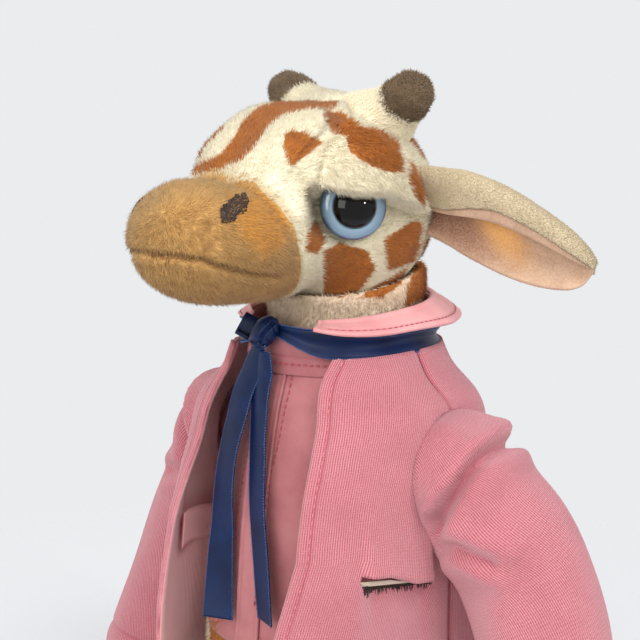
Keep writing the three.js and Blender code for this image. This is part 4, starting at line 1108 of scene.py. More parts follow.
LID_START, LID_BLEND = math.radians(19), math.radians(19)
for side_name, side in SIDES:
    lid = soft_copy(side_name + "_eyelid", 0.9, 9)
    points, _ = read(lid)
    away = points - HEAD
    reach = np.linalg.norm(away, axis=1)
    turn = np.arctan2(np.abs(away[:, 0]), -away[:, 1])
    part = ramp(turn, LID_START, LID_BLEND)
    swell = np.where(reach > CRANIUM, (reach - CRANIUM) * part ** 2 * (3 - 2 * part), reach - CRANIUM)
    points = HEAD + away / reach[:, None] * (CRANIUM + swell)[:, None]
    write(lid, points)
    lid = settle(lid, "cream", "head_unit")
    points, normals = read(lid)
    out = unit(points - HEAD)
    mark(lid, "patch", patch_of(points, out))
    outside = ((out * normals).sum(1) > -0.25) & (np.linalg.norm(points - HEAD, axis=1) > 34.5)
    comb = unit(np.array([side * 0.5, 0.3, -0.8]))
    grow_pile(lid, "cream", 2.5, comb, density=3.0, width=0.3, lay=1.2, stray=0.5, seed=21,
        grow=outside.astype(float))
    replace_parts(lid, side_name + "_eyelid")
print("eyes and lids")

# %% [markdown]
# The horns are stuffed cones with darker caps of longer pile, leaning forward and out. The nostrils are dense
# satin stitch: uneven rows of thread, worked from side to side, so they are rows of small strands and not a
# painted spot. The mane is a strip of longer russet pile along the back of the neck. Horns and mane are
# skins with pile, like the head, so that light catches all of them in the same way.

# %% Horns, nostrils and mane
def flat_uv(piece, axes=(0, 2)):
    """Lays UV over a piece from two of its own axes, in metres."""
    corners = np.empty(len(piece.data.loops), int)
    piece.data.loops.foreach_get("vertex_index", corners)
    points, _ = read(piece)
    layer = piece.data.uv_layers.get("UVMap") or piece.data.uv_layers.new(name="UVMap")
    layer.data.foreach_set("uv", (points[corners][:, list(axes)] * MM).ravel())


HORN = [(14.5, -3), (14.2, 0), (12.6, 3), (10.8, 6), (9.2, 9), (8.1, 12), (7.5, 14.6)]
CAP = [(7.2, 13.6), (7.35, 15), (7.3, 17), (7.0, 19), (6.4, 21), (5.4, 22.8), (4.0, 24.2), (2.2, 25)]
HORN_LEAN, HORN_SINK, HORN_OUT = math.radians(53), 3.2, 2.2


def dense(profile, count=24):
    """The same profile with more points, passed through smoothly."""
    table = [(i, *row) for i, row in enumerate(profile)]
    return [tuple(row) for row in smooth_rows(table, np.linspace(0, len(profile) - 1, count))]


for side_name, side in SIDES:
    low, high = [np.array(corner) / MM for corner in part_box(side_name + "_horn_tip")]
    axis = np.array([side * math.sin(HORN_LEAN), 0, math.cos(HORN_LEAN)])
    foot = (low + high) / 2 - axis * 18.2 + [side * HORN_OUT, 0, -HORN_SINK]
    horn = make(side_name + "_horn_cone", *lathe(dense(HORN), foot, axis, 56), "cream", "head_unit",
        "cream_plush")
    points, normals = read(horn)
    mark(horn, "patch", np.full(len(points), -9.0))
    shown = (np.linalg.norm(points - HEAD, axis=1) > 33) & ((points - foot) @ axis > -2)
    grow_pile(horn, "cream", 1.7, axis, density=2.6, width=0.32, seed=31, grow=shown.astype(float))
    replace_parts(horn, side_name + "_horn")
    cap = make(side_name + "_horn_cap", *lathe(dense(CAP), foot, axis, 56), "horn_tip", "head_unit",
        "horn_plush")
    points, normals = read(cap)
    write(cap, points + normals * (wavy(points, 9, 35) * 0.5)[:, None])
    grow_pile(cap, "horn_tip", 1.6, axis, density=5.0, width=0.36, lay=0.9, stray=0.9, seed=32)
    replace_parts(cap, side_name + "_horn_tip")


print("horns, leaning", round(math.degrees(HORN_LEAN)), "degrees")

# %% Nostrils
def onto(piece, places, lift):
    """Points of a piece's skin that the camera sees at some pixels, raised by a little."""
    eye = AIM + TO_CAMERA * DISTANCE
    made = []
    for x, y in places:
        ray = -TO_CAMERA * (LENS / SENSOR * PHOTO) + TO_RIGHT * (x - PHOTO / 2) - TO_TOP * (y - PHOTO / 2)
        hit, place, normal, _ = piece.ray_cast(Vector(eye * MM), Vector(unit(ray)))
        if hit:
            made.append(np.array(place) / MM + np.array(normal) * lift)
    return np.array(made)


turned = np.array([[math.cos(NOSTRIL_TURN), -math.sin(NOSTRIL_TURN)],
    [math.sin(NOSTRIL_TURN), math.cos(NOSTRIL_TURN)]])
threads = []
uneven = np.random.default_rng(36).uniform(-1, 1, (17, 3))
for place, (low, high, lean) in zip(np.linspace(-0.9, 0.9, 17), uneven):
    half = NOSTRIL_HEIGHT / 2 * math.sqrt(1 - abs(place) ** 3)
    top, foot = half + 1.6 * high, half + 1.6 * low
    ends = np.array([[place * NOSTRIL_LENGTH / 2 + shift * (1 + lean), y] for shift,
        y in ((-1.2, top), (0, top * 0.3), (0, -foot * 0.3), (1.2, -foot))])
    threads.append(onto(bare_muzzle, ends @ turned + NOSTRIL, 0.75))
for side_name, side in SIDES:
    lines = [line * [side, 1, 1] for line in threads]
    threads_piece = stitch(side_name + "_nostril_threads", lines, "embroidery", "head_unit",
        0.42, 1.0, 0.95)
    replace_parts(threads_piece, side_name + "_nostril")
bpy.data.objects.remove(bare_muzzle)
print(len(threads), "threads in each nostril")

# %% Mane and neck
mane = settle(soft_copy("mane", 1.0, 6), "mane", "head_unit")
grow_pile(mane, "mane", 4.5, (0, 0.6, -0.8), density=3.4, width=0.4, lay=0.3, stray=0.7, seed=33)
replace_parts(mane, "mane")

neck = settle(soft_copy("neck", 1.4, 8), "throat", "neck_unit")
points, _ = read(neck)
flare = ramp(points[:, 2], 172, 10) * (np.hypot(points[:, 0], points[:, 1]) > 15)
points[:, :2] *= (1 + 0.06 * flare ** 2)[:, None]
write(neck, points)
points, normals = read(neck)
mark(neck, "patch", patch_of(points, normals))
grow_pile(neck, "throat", 2.0, (0, 0, -1), density=2.0, seed=34, grow=(points[:, 2] > 168).astype(float))
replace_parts(neck, "neck")
print("mane and neck")

# %% [markdown]
# An ear is one leaf of plush with a velour lining. Its upper edge rolls forward, so the cream back shows
# above a seam. The lining comes out under that seam as a lip, runs round the hollow behind it and wraps the
# lower edge. A bent plane would look like card, so the leaf is a grid whose cross-section folds along a
# table, and the back is thickened, evened out and smoothed until it looks stuffed.

# %% Ears
EAR_LENGTH, EAR_HALF, EAR_CUP = 55, 14, 7
EAR_DROP, EAR_SWEEP = math.radians(19.5), math.radians(105)
EAR_SHAPE = [(-0.1, 0.72, 0.5), (0, 0.76, 0.56), (0.1, 0.82, 0.66), (0.25, 0.93, 0.9), (0.45, 1, 1),
    (0.65, 0.94, 0.9), (0.82, 0.76, 0.7), (0.92, 0.55, 0.52), (0.975, 0.32, 0.36), (1, 0.1, 0.25)]
EAR_LIP = [(-0.1, -0.42), (0.1, -0.3), (0.32, 0), (0.5, 0.16), (0.75, 0.12), (1, 0)]
EAR_FOLD = [(0, -0.98, 0.7), (0.1, -0.88, 0.3), (0.27, -0.4, 0.02), (0.45, 0.2, 0.1), (0.6, 0.68, 0.4),
    (0.7, 0.86, 0.8), (0.78, 0.82, 1.14), (0.88, 0.6, 1.34), (1, 0.24, 1.3)]
LINING_FOLD = [(0, -0.98, 0.5), (0.05, -1.08, 0.74), (0.11, -1.0, 0.98), (0.22, -0.72, 0.62),
    (0.36, -0.2, 0.3), (0.48, 0.22, 0.34), (0.6, 0.58, 0.6), (0.68, 0.66, 0.86), (0.76, 0.5, 1.02),
    (0.85, 0.14, 1.04), (0.91, -0.02, 1.14), (0.96, 0.02, 1.34), (1, 0.22, 1.4)]


def ear_leaf(side, fold, rows, start=-0.1, tuck=0.0, columns=84):
    along = np.array([side * math.sin(EAR_SWEEP), -math.cos(EAR_SWEEP), 0])
    front = np.array([-side * math.cos(EAR_SWEEP), -math.sin(EAR_SWEEP), 0])
    share = np.linspace(start, 1, columns)
    half, cup = smooth_rows(EAR_SHAPE, share).T
    sag = share * (0.55 + 0.45 * share)
    way = np.linspace(0, 1, rows)
    rise, forward = smooth_rows(fold, way).T
    slim = 1 - 0.2 * ramp(share, 0.25, 0.5)
    lip = smooth_rows(EAR_LIP, share)[:, 0][None] * (ramp(way, 0.7, 0.3) ** 2)[:, None]
    rise = np.where(rise[:, None] > 0, rise[:, None] * slim[None], rise[:, None]) + lip
    tip = tuck * ramp(share[None], 0.7, 0.28) * np.clip(1.3 - way[:, None] * 3, 0, 1)
    rise = rise + tip * 0.7
    grid = np.repeat((along * (EAR_LENGTH * share * math.cos(EAR_DROP))[:, None])[None], rows, axis=0)
    grid[..., 2] += rise * half * EAR_HALF - (EAR_LENGTH * sag * math.sin(EAR_DROP))[None]
    grid += front * (forward[:, None] * cup[None] * EAR_CUP - 1.0 - tip * 1.6)[..., None]
    waves = wavy(grid.reshape(-1, 3), 22, 7 if side > 0 else 8).reshape(rows, columns)
    grid += front * (waves * 0.6 * np.clip(share / 0.3, 0, 1))[..., None]
    return grid + np.array([side * 31.292, 8, 211.2])


LINING_ROWS, LINING_COLUMNS, LINING_START = 80, 84, -0.06
for side_name, side in SIDES:
    body = side_name + "_ear_flap"
    points, faces, _ = cloth(ear_leaf(side, EAR_FOLD, 48, tuck=1.0), 1.7, flip=side < 0)
    outer = soften(make(side_name + "_ear_outer", points, faces, "ear_back", body, "cream_plush"), 0.6, 4)
    grow_pile(outer, "ear_back", 0.8, (side, 0.3, -0.3), density=8.0, width=0.24, lay=1.3, stray=0.3, seed=37)
    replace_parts(outer, side_name + "_ear")
    grid = ear_leaf(side, LINING_FOLD, LINING_ROWS, LINING_START, columns=LINING_COLUMNS)
    points, faces, uv = cloth(grid, 0.5, flip=side < 0)
    share = np.repeat(np.linspace(LINING_START, 1, LINING_COLUMNS)[None], LINING_ROWS, axis=0)
    fold = np.repeat(np.linspace(0, 1, LINING_ROWS)[:, None], LINING_COLUMNS, axis=1)
    # Painted light and shade on the lining: a warm glow where light shines through the ear, and shade in the
    # hollow near the root.
    glow = np.exp(-((share - 0.4 - (0.42 - fold) * 0.6) / 0.17) ** 2 - ((fold - 0.42) / 0.2) ** 2)
    shade = np.clip(1.2 - share * 1.35, 0, 1) * bell(fold - 0.33, 0.26)
    values = {"blush": both(glow), "groove": both(shade)}
    inner = make(side_name + "_ear_inner", points, faces, "ear", body, "ear_suede", uv, values)
    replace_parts(inner, side_name + "_ear_lining")
    steps_across, steps_along = np.diff(grid, axis=1)[:-1], np.diff(grid, axis=0)[:, :-1]
    width = float(np.linalg.norm(steps_along, axis=2).sum(0).max()) * MM
print("ears")

# %% [markdown]
# Stuffing presses a skin out from inside and pulls at its seams. Displacing the skin by noise gives lumps,
# but not the tension of a filled skin. A cloth simulation does: a coarse copy of the piece starts slightly
# too small, is pressed out for a few frames without gravity, and its movement is handed on to the fine mesh.
# With the usual pressure and a stiffer cloth, pieces as small as these only shrank. So the pressure is high
# and the cloth soft, and a cap keeps each point in reach.

# %% Filling by simulation
FILL_FRAMES = (1, 20)
FILL_PRESSURE, FILL_MASS, FILL_STIFFNESS, FILL_BENDING, FILL_QUALITY = 1100.0, 0.003, 0.5, 0.02, 6
START_IN, SEAM_IN = 0.6, 0.9
NEIGHBOURS = 6


def filled(piece, voxel, cap, seam=None):
    """Fills a piece by a pressed cloth simulation. It starts a little smaller; no point passes the cap."""
    shell = show(bpy.data.objects.new(piece.name + "_shell", piece.data.copy()))
    coarse = shell.modifiers.new("coarse", "REMESH")
    coarse.mode, coarse.voxel_size = "VOXEL", voxel * MM
    applied(shell)
    points, normals = read(shell)
    start = points - normals * cap * START_IN
    if seam:
        sewn = seam(points)
        held = shell.vertex_groups.new(name="seam")
        held.add([int(number) for number in np.nonzero(sewn)[0]], 1.0, "REPLACE")
        start[sewn] = points[sewn] - normals[sewn] * cap * SEAM_IN
    write(shell, start)
    press = shell.modifiers.new("press", "CLOTH")
    settings = press.settings
    settings.quality, settings.mass, settings.effector_weights.gravity = FILL_QUALITY, FILL_MASS, 0.0
    settings.tension_stiffness = settings.compression_stiffness = settings.shear_stiffness = FILL_STIFFNESS
    settings.bending_stiffness = FILL_BENDING
    settings.use_pressure, settings.uniform_pressure_force = True, FILL_PRESSURE
    if seam:
        settings.vertex_group_mass = "seam"
    scene = bpy.context.scene
    press.point_cache.frame_start, press.point_cache.frame_end = FILL_FRAMES
    for frame_number in range(FILL_FRAMES[0], FILL_FRAMES[1] + 1):
        scene.frame_set(frame_number)
    applied(shell)
    scene.frame_set(FILL_FRAMES[0])
    moved = read(shell)[0] - points
    length = np.linalg.norm(moved, axis=1, keepdims=True)
    moved *= np.minimum(1.0, cap / np.maximum(length, 1e-6))
    tree = KDTree(len(points))
    for number, point in enumerate(points):
        tree.insert(point, number)
    tree.balance()
    fine, outward = read(piece)
    change = np.zeros_like(fine)
    for number, point in enumerate(fine):
        near = tree.find_n(point, NEIGHBOURS)
        weight = np.array([1 / (gap + 0.3) ** 2 for _, _, gap in near])
        change[number] = (moved[[other for _, other, _ in near]] * weight[:, None]).sum(0) / weight.sum()
    write(piece, fine + change)
    bpy.data.objects.remove(shell)
    swell = (change * outward).sum(1)
    print(piece.name, "filled: its points moved out by",
        *[round(float(v), 2) for v in np.percentile(swell, (1, 50, 99))], "mm")


# %% [markdown]
# The body, arms, legs and tail are cream plush with russet patches, and the hooves are brown. Each takes its
# solid's shape in an even mesh with every facet smoothed away; all but the tail are filled, and then each
# grows its pile. Only what shows grows pile, because hair under the clothes costs time and pokes through the
# cloth.

# %% Body, limbs and tail
def stuffed(node, name, look, body, slot, voxel=1.5, rounds=8, pile=2.2, comb=(0, 0, -1), density=1.5,
        keep=None, seed=41, sink=0, fill=None, **fur):
    piece = settle(soft_copy(node, voxel, rounds), look, body)
    piece.name = name
    if fill:
        filled(piece, *fill)
    points, normals = read(piece)
    if sink:
        points = points - normals * (sink * ramp(points[:, 2], 55, 10))[:, None]
        write(piece, points)
    if pile:
        shown = np.ones(len(points)) if keep is None else keep(points).astype(float)
        grow_pile(piece, look, pile, comb, density=density, seed=seed, grow=shown, **fur)
    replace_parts(piece, node)


stuffed("torso", "torso_plush", "spotted", "body", "cream_plush", 1.8, 8,
    keep=lambda p: (p[:, 2] < 78) & (p[:, 2] > 2), fill=(3.5, 1.8, lambda p: np.abs(p[:, 0]) < 1.8))
stuffed("tail", "tail_cord", "spotted", "tail_unit", "cream_plush", 0.8, 4, comb=(0, 1, 0))
stuffed("tail_tuft", "tail_end", "mane", "tail_unit", "russet_plush", 1.0, 4, pile=6.0, comb=(0, 1, -0.3),
    density=3.0, width=0.4, stray=0.6)
for side_name, side in SIDES:
    leg, arm = side_name + "_leg_unit", side_name + "_arm_unit"
    stuffed(side_name + "_leg", side_name + "_leg_plush", "spotted", leg, "cream_plush", comb=(0, -1, 0),
        seed=42, fill=(3.0, 1.2))
    stuffed(side_name + "_back_hoof", side_name + "_back_hoof_plush", "hoof", leg, "hoof_plush",
        comb=(0, -1, 0), density=2.2, seed=43, fill=(2.5, 1.0))
    stuffed(side_name + "_arm", side_name + "_arm_plush", "spotted", arm, "cream_plush",
        keep=lambda p: p[:, 2] < 48, seed=44, sink=5, fill=(3.0, 0.9))
    stuffed(side_name + "_front_hoof", side_name + "_front_hoof_plush", "hoof", arm, "hoof_plush",
        density=2.2, seed=45, fill=(2.5, 1.0))
print("body, limbs and tail")

# %% [markdown]
# The clothes are cut as panels, as a tailor would. A simulated garment would fall in folds of its own, but
# these have to fall where the photograph shows them. So each panel is a fine grid over the body's rounded
# section, and its seams, turned hems, folds and openings are worked into the surface. Solidify gives it
# thickness. Its width and length are measured along the finished cloth, so the folds are counted in them.

# %% Sections of body and jacket
TORSO_HEIGHT, TORSO_SIZE, TORSO_SQUARE = 158, (41.5, 46, 38), 2.3
TORSO = [(0, 0.78, 0.74, 0.76), (0.03, 0.91, 0.88, 0.9), (0.13, 1, 0.98, 1), (0.32, 1, 1, 1),
    (0.5, 0.97, 0.96, 0.95), (0.665, 0.9, 0.91, 0.89), (0.79, 0.83, 0.85, 0.84), (0.92, 0.74, 0.76, 0.76),
    (1, 0.645, 0.675, 0.68)]
HEM, TOP, NECK_LIFT, NECK_FROM, HEM_DROP, HEM_FROM = 52, 162, 2.2, 140, 7.5, 90
JACKET = [(0, 46, 64, 45, 0.65), (0.13, 46, 64, 44.55, 0.65), (0.26, 46, 62.7, 43, 0.64),
    (0.39, 46, 60.5, 41.4, 0.63), (0.52, 46, 57.6, 40.05, 0.61), (0.64, 46, 52.2, 38.5, 0.575),
    (0.75, 46, 46.1, 36.9, 0.545), (0.87, 44.2, 41.6, 34.2, 0.53), (0.94, 35.6, 40.6, 32, 0.6),
    (1, 31.2, 40, 30.3, 0.72)]
SQUARE, SQUARE_TOP = 3, 2.35
SHOULDER = np.array([50, 0, 127.5])
ARM_PLANE = 46.4


def outline(half, front, back, square, angle, z):
    """Points of a rounded section, going from the front (angle 0) to the giraffe's left."""
    bend = 2 / square
    across = np.sign(np.sin(angle)) * np.abs(np.sin(angle)) ** bend
    along = np.sign(np.cos(angle)) * np.abs(np.cos(angle)) ** bend
    return np.stack([half * across, -np.where(along > 0, front, back) * along, z + 0 * across], axis=-1)


def torso_row(z, offset, angle):
    half, front, back = smooth_rows(TORSO, np.array([z / TORSO_HEIGHT]))[0] * TORSO_SIZE
    return outline(half + offset, front + offset, back + offset, TORSO_SQUARE, angle, z)


def square_at(z):
    """The jacket hangs squarer than it sits at the neck."""
    part = min(max((z - 138) / 20, 0), 1)
    return SQUARE + (SQUARE_TOP - SQUARE) * part * part * (3 - 2 * part)


def seam_turn(z):
    return math.acos((0.2 / 46) ** (square_at(z) / 2))


def jacket_row(z, offset, angle):
    half, front, back, _ = smooth_rows(JACKET, np.array([(z - HEM) / (TOP - HEM)]))[0]
    raised = z + NECK_LIFT * max(0.0, (z - NECK_FROM) / (TOP - NECK_FROM)) ** 2
    raised = raised - HEM_DROP * max(0.0, (HEM_FROM - z) / (HEM_FROM - HEM)) ** 2
    return outline(half + offset, front + offset, back + offset, square_at(z), angle, raised)


def even(line, count):
    """The same line with evenly spaced points."""
    way = np.concatenate([[0], np.linalg.norm(np.diff(line, axis=0), axis=1).cumsum()])
    spots = np.linspace(0, way[-1], count)
    return np.stack([np.interp(spots, way, line[:, k]) for k in range(3)], axis=1)


def draw_panel(row, heights, start, end, columns):
    """A grid over a body's rows, between two turns that may change with the height."""
    lines = []
    for z in heights:
        first, last = [edge(z) if callable(edge) else edge for edge in (start, end)]
        lines.append(even(row(z, np.linspace(first, last, 900)), columns))
    return np.stack(lines)


print("the torso is", 2 * TORSO_SIZE[0], "mm wide and", TORSO_HEIGHT, "mm high")

# %% Sewing and hanging cloth
CUTS = {}


def sew(name, grid, look, body, slot, thickness, outward, drop=None, uv=None, values=None):
    """A cloth from its outer grid, faced away from a point inside the body. drop marks what is cut away."""
    rows, columns = grid.shape[:2]
    points = grid.reshape(-1, 3)
    faces = np.array(grid_faces(rows, columns))
    if drop is not None:
        faces = faces[~drop.ravel()[faces].any(1)]
    middle = points[faces[:, 0]]
    cross = np.cross(points[faces[:, 1]] - middle, points[faces[:, 3]] - middle)
    if (cross * (middle - outward)).sum() < 0:
        faces = faces[:, ::-1]
    used = np.unique(faces)
    place = np.full(len(points), -1)
    place[used] = np.arange(len(used))
    across, along = lengths_of(grid)
    if uv is None:
        uv = np.stack([across, along], axis=-1)
    CUTS[name] = (float(across[:, -1].mean()) * MM, float(along[-1].mean()) * MM)
    chosen = {key: np.asarray(value).ravel()[used] for key, value in (values or {}).items()}
    piece = make(name, points[used], place[faces].tolist(), look, body, slot, uv.reshape(-1, 2)[used], chosen)
    wall = piece.modifiers.new("wall", "SOLIDIFY")
    wall.thickness, wall.offset, wall.use_even_offset = thickness * MM, -1, True
    applied(piece)
    # inside marks the back layer, which the knit material paints paler as painted light.
    mark(piece, "inside", np.arange(len(piece.data.vertices)) >= len(used))
    smooth(piece)
    return piece


LEAST_SIDE = 0.01


def hang(piece, held, **more):
    """Reads a cloth's width and length, measured along the finished cloth. When a side is under 10 mm, it
    works out the cloth's own area and prints both sides. No side may be given under 10 mm, so a narrower
    one is given as 10 mm, and the cloth's own area is given with it."""
    width, length = CUTS[piece.name]
    if min(width, length) < LEAST_SIDE:
        more["area"] = width * length
        print(piece.name, "is", round(width / MM, 1), "by", round(length / MM, 1), "mm along the cloth")


print("sections ready")

# %% [markdown]
# The jacket has a back and two fronts in fine knit, and is open in front. Each front edge and the hem are
# turned in and stitched down, which leaves a ridge beside a groove. The pocket is a slit: its upper lip
# gapes, its lower lip sags, and a cream tape and a lining show inside. The cells of the grid between the
# lips are left out, which keeps the lips clean where a boolean cut would leave ragged triangles.

# %% Jacket
POCKET_LOW, POCKET_HIGH, POCKET_SLANT, POCKET_SHUT = 97.0, 101.0, 4.0, 3.2
heights = np.concatenate([np.linspace(HEM, POCKET_LOW, 39), np.linspace(POCKET_LOW, POCKET_HIGH, 4)[1:],
    np.linspace(POCKET_HIGH, TOP, 53)[1:]])
NEAR_WRAP, WRAP_TOP, WRAP_FALL = 0.16, 106.0, 34.0


def front_turn(z, side=0):
    """Where a front ends. The giraffe's left one hangs further across towards the hem."""
    opening = smooth_rows(JACKET, np.array([(z - HEM) / (TOP - HEM)]))[0][3]
    if side > 0:
        opening -= NEAR_WRAP * min(max((WRAP_TOP - z) / WRAP_FALL, 0.0), 1.2)
    return math.asin(opening ** (square_at(z) / 2))


def slanted(points):
    """The pocket's slit slants down towards the side and closes there."""
    turn = np.degrees(np.arctan2(np.abs(points[..., 0]), -points[..., 1]))
    z = points[..., 2]
    down = POCKET_SLANT * ramp(turn, 47, 32) * bell(z - 99, 12)
    shut = POCKET_SHUT * ramp(turn, 58, 10) * np.clip(z - POCKET_LOW, 0, 4) / 4
    shut = shut * np.exp(-np.clip(z - POCKET_HIGH, 0, 99) / 7)
    return points - (down + shut)[..., None] * [0, 0, 1]


def pulled(grid, normals, amount):
    return grid + normals * amount[..., None]


def ridge(away, width):
    """A turned edge: thicker up to its stitch line, with a groove at the stitches."""
    return 0.5 * np.sin(np.clip(away / width, 0, 1) * math.pi) - 0.6 * bell(away - width - 0.5, 0.8)


def jacket_panel(name, grid, side, seams):
    rows, columns = grid.shape[:2]
    normals = grid_normals(grid)
    centre = np.array([0, -5, 100])
    if (normals * (grid - centre)).sum() < 0:
        normals = -normals
    across, along = lengths_of(grid)
    from_edge, to_seam, from_hem = across, across[:, -1:] - across, along
    flat = grid.reshape(-1, 3)
    fold = wavy(flat * [1, 1, 0.45], 46, 51 + side).reshape(rows, columns) * 0.9
    move = fold * np.clip((TOP - grid[..., 2]) / 30, 0, 1)
    move = np.minimum(move, 1.2) + ridge(from_hem, 7.5) * 0.8
    # groove marks painted shade along the hem, the turned front edge and the seams.
    groove = bell(from_hem - 8, 0.6)
    if seams == "front":
        move += ridge(from_edge, 3.6) + 0.25 * bell(from_edge - 6.0, 1.6)
        groove = np.maximum(groove, bell(from_edge - 4.1, 0.6))
    else:
        groove = np.maximum(groove, bell(from_edge, 0.9))
        move -= 0.7 * bell(from_edge, 1.2)
    groove = np.maximum(groove, bell(to_seam, 0.9))
    move -= 0.7 * bell(to_seam, 1.2)
    x, y, z = grid[..., 0], grid[..., 1], grid[..., 2]
    from_arm = np.hypot(y, z - SHOULDER[2])
    beside = np.abs(x) > 38
    move = move * np.where(beside, ramp(from_arm, 21, 6), 1)
    drop = beside & (from_arm < 17.6)
    if seams == "front":
        turn = np.degrees(np.arctan2(np.abs(x), -y))
        inside = np.clip(np.minimum(turn - 47, 79 - turn) / 5, 0, 1)
        gape = np.exp(-np.clip(z - POCKET_HIGH, 0, 99) / 9) * (z >= POCKET_HIGH
            - 0.1) * np.minimum(inside * 1.6, 1)
        sink = np.exp(-np.clip(POCKET_LOW - z, 0, 99) / 18) * (z <= POCKET_LOW + 0.1) * inside
        move = move + gape * 3.2 - sink * 1.8
        # Below the slit the knit gets painted shade, as cast by the gaping lip.
        groove = np.maximum(groove,
            0.75 * inside * np.exp(-(np.clip(POCKET_LOW - z, 0, 99) / 9)) * (z < POCKET_HIGH))
        drop |= (z > POCKET_LOW + 0.2) & (z < POCKET_HIGH - 0.2) & (inside > 0.15)
    shaped = pulled(grid, normals, move)
    shaped = slanted(shaped) if seams == "front" else shaped
    uv = np.stack([across, along], axis=-1)
    piece = sew(name, shaped, "knit", "body", "pink_knit", 1.8, centre, drop, uv, {"groove": groove})
    hang(piece, "hung")
    return shaped


print("the slit is", POCKET_HIGH - POCKET_LOW, "mm high before it slants")

# %% Fronts, back and pockets
front_grids = {}
for side_name, side in SIDES:
    grid = draw_panel(lambda z, turn: jacket_row(z, 0, side * turn), heights, lambda z: front_turn(z, side),
        seam_turn, 72)
    front_grids[side_name] = jacket_panel(side_name + "_jacket_front", grid, side, "front")
    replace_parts(bpy.data.objects[side_name + "_jacket_front"], "jacket_" + side_name + "_front")
back_grid = draw_panel(lambda z, turn: jacket_row(z, 0, turn), heights, lambda z: math.pi - seam_turn(z),
    lambda z: math.pi + seam_turn(z), 120)
jacket_panel("jacket_back_panel", back_grid, 0, "back")
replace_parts(bpy.data.objects["jacket_back_panel"], "jacket_back")
for side_name, side in SIDES:
    for name, low, high, depth, start, look, slot in (
            ("tape", POCKET_LOW + 0.4, POCKET_LOW + 1.8, -1.0, 58, "tape", "cream_tape"),
            ("lining", POCKET_LOW - 4, POCKET_HIGH + 4, -3.2, 50, "knit_back", "pink_knit_inside")):
        strip = draw_panel(lambda z, turn: jacket_row(z, depth, side * turn), np.linspace(low, high, 8),
                           math.radians(start), math.radians(88), 40)
        strip = slanted(strip)
        piece = sew(side_name + "_pocket_" + name + "_strip", strip, look, "body", slot, 0.8,
            np.array([0, -5, 100]))
        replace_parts(piece, side_name + "_pocket_" + name)
    hang(piece, "hung", with_pieces=[side_name + "_pocket_tape_strip"])
print("jacket panels and pockets")

# %% [markdown]
# Sleeves are set into round armholes, as on a tailored coat. Each is a tube along the arm's bent path,
# clipped flat where it meets the jacket's side and gathered a little at the top and under the arm. The folds
# in the elbow are the same kind of line as the seams: pressed in on the line and swollen beside it.

# %% Sleeves
def through(points, places):
    """The smooth path through a few points, at shares of its way."""
    points = np.asarray(points, float)
    points = np.vstack([2 * points[0] - points[1], points, 2 * points[-1] - points[-2]])
    made = []
    for place in places:
        spot = min(max(place, 0), 1) * (len(points) - 3)
        first = min(int(spot), len(points) - 4)
        a, b, c, d = points[first:first + 4]
        part = spot - first
        ab, bc, cd = [max(np.linalg.norm(q - p) ** 0.5, 1e-4) for p, q in ((a, b), (b, c), (c, d))]
        start = ((b - a) / ab - (c - a) / (ab + bc) + (c - b) / bc) * bc
        end = ((c - b) / bc - (d - b) / (bc + cd) + (d - c) / cd) * bc
        made.append(b + start * part + (3 * (c - b) - 2 * start - end) * part ** 2
            + (2 * (b - c) + start + end) * part ** 3)
    return np.array(made)


SLEEVE_TUCK, SLEEVE_LENGTH, SHIRT_CUFF = 1.3, 92, 14.0
ARM_WAY = [(0, 0, 0), (0.16, 0.25, 0.1), (0.515, 1, 0.32), (0.8, 1, 0.59), (0.94, 0.75, 0.86),
    (1.04, 0.4, 1.09)]
SLEEVE_FULLNESS = [(0, 1.4), (1 / 6, 1.0), (2 / 6, -0.2), (3 / 6, 0), (4 / 6, 0.6), (5 / 6, 0.9), (1, 1)]
SLEEVE_FOLDS = [([(534, 436), (514, 440), (500, 445), (480, 459), (457, 489), (437, 519), (424, 546)], -5.0,
    2.3), ([(522, 424), (503, 428), (488, 434), (466, 452), (445, 482), (428, 508)], 2.4, 3.4),
    ([(524, 455), (504, 468), (480, 494), (458, 524), (446, 536)], 1.5, 4.5),
    ([(490, 564), (472, 557), (452, 549), (428, 549)], -2.8, 2.3),
    ([(510, 552), (484, 543), (456, 533)], 1.3, 3.2), ([(500, 584), (474, 573), (450, 566)], 1.2, 3.4)]


def sleeve_rings(side, count=132):
    path = np.array([(side * out * 34, back * 8, -down * 89.5) for out, back, down in ARM_WAY])
    ways = np.linspace(0, 1, 96)
    line = through(path, ways)
    tangents = unit(np.gradient(line, axis=0))
    radius = 21 - smooth_rows(SLEEVE_FULLNESS, ways)[:, 0]
    turns = np.radians(np.linspace(84, 4, 20))
    line = np.vstack([line[0] - tangents[0] * (radius[0] * np.sin(turns))[:, None], line])
    radius = np.concatenate([radius[0] * np.cos(turns), radius])
    tangents = np.vstack([np.repeat(tangents[:1], 20, axis=0), tangents])
    across = unit(np.array([1.0, 0, 0]) - tangents * tangents[:, :1])
    up = np.cross(tangents, across)
    angle = np.linspace(0, 2 * math.pi, count + 1)[None, :, None]
    start = math.pi * (0.5 + 0.5 * side)
    angle = angle + start
    rings = line[:, None] + radius[:, None, None] * (across[:, None] * np.cos(angle)
        + up[:, None] * np.sin(angle))
    return rings, np.repeat(np.concatenate([np.linspace(-18, 0, 20), ways * SLEEVE_LENGTH])[:, None],
        count + 1, axis=1)


print("a sleeve has", sleeve_rings(1)[0].shape[:2], "points")

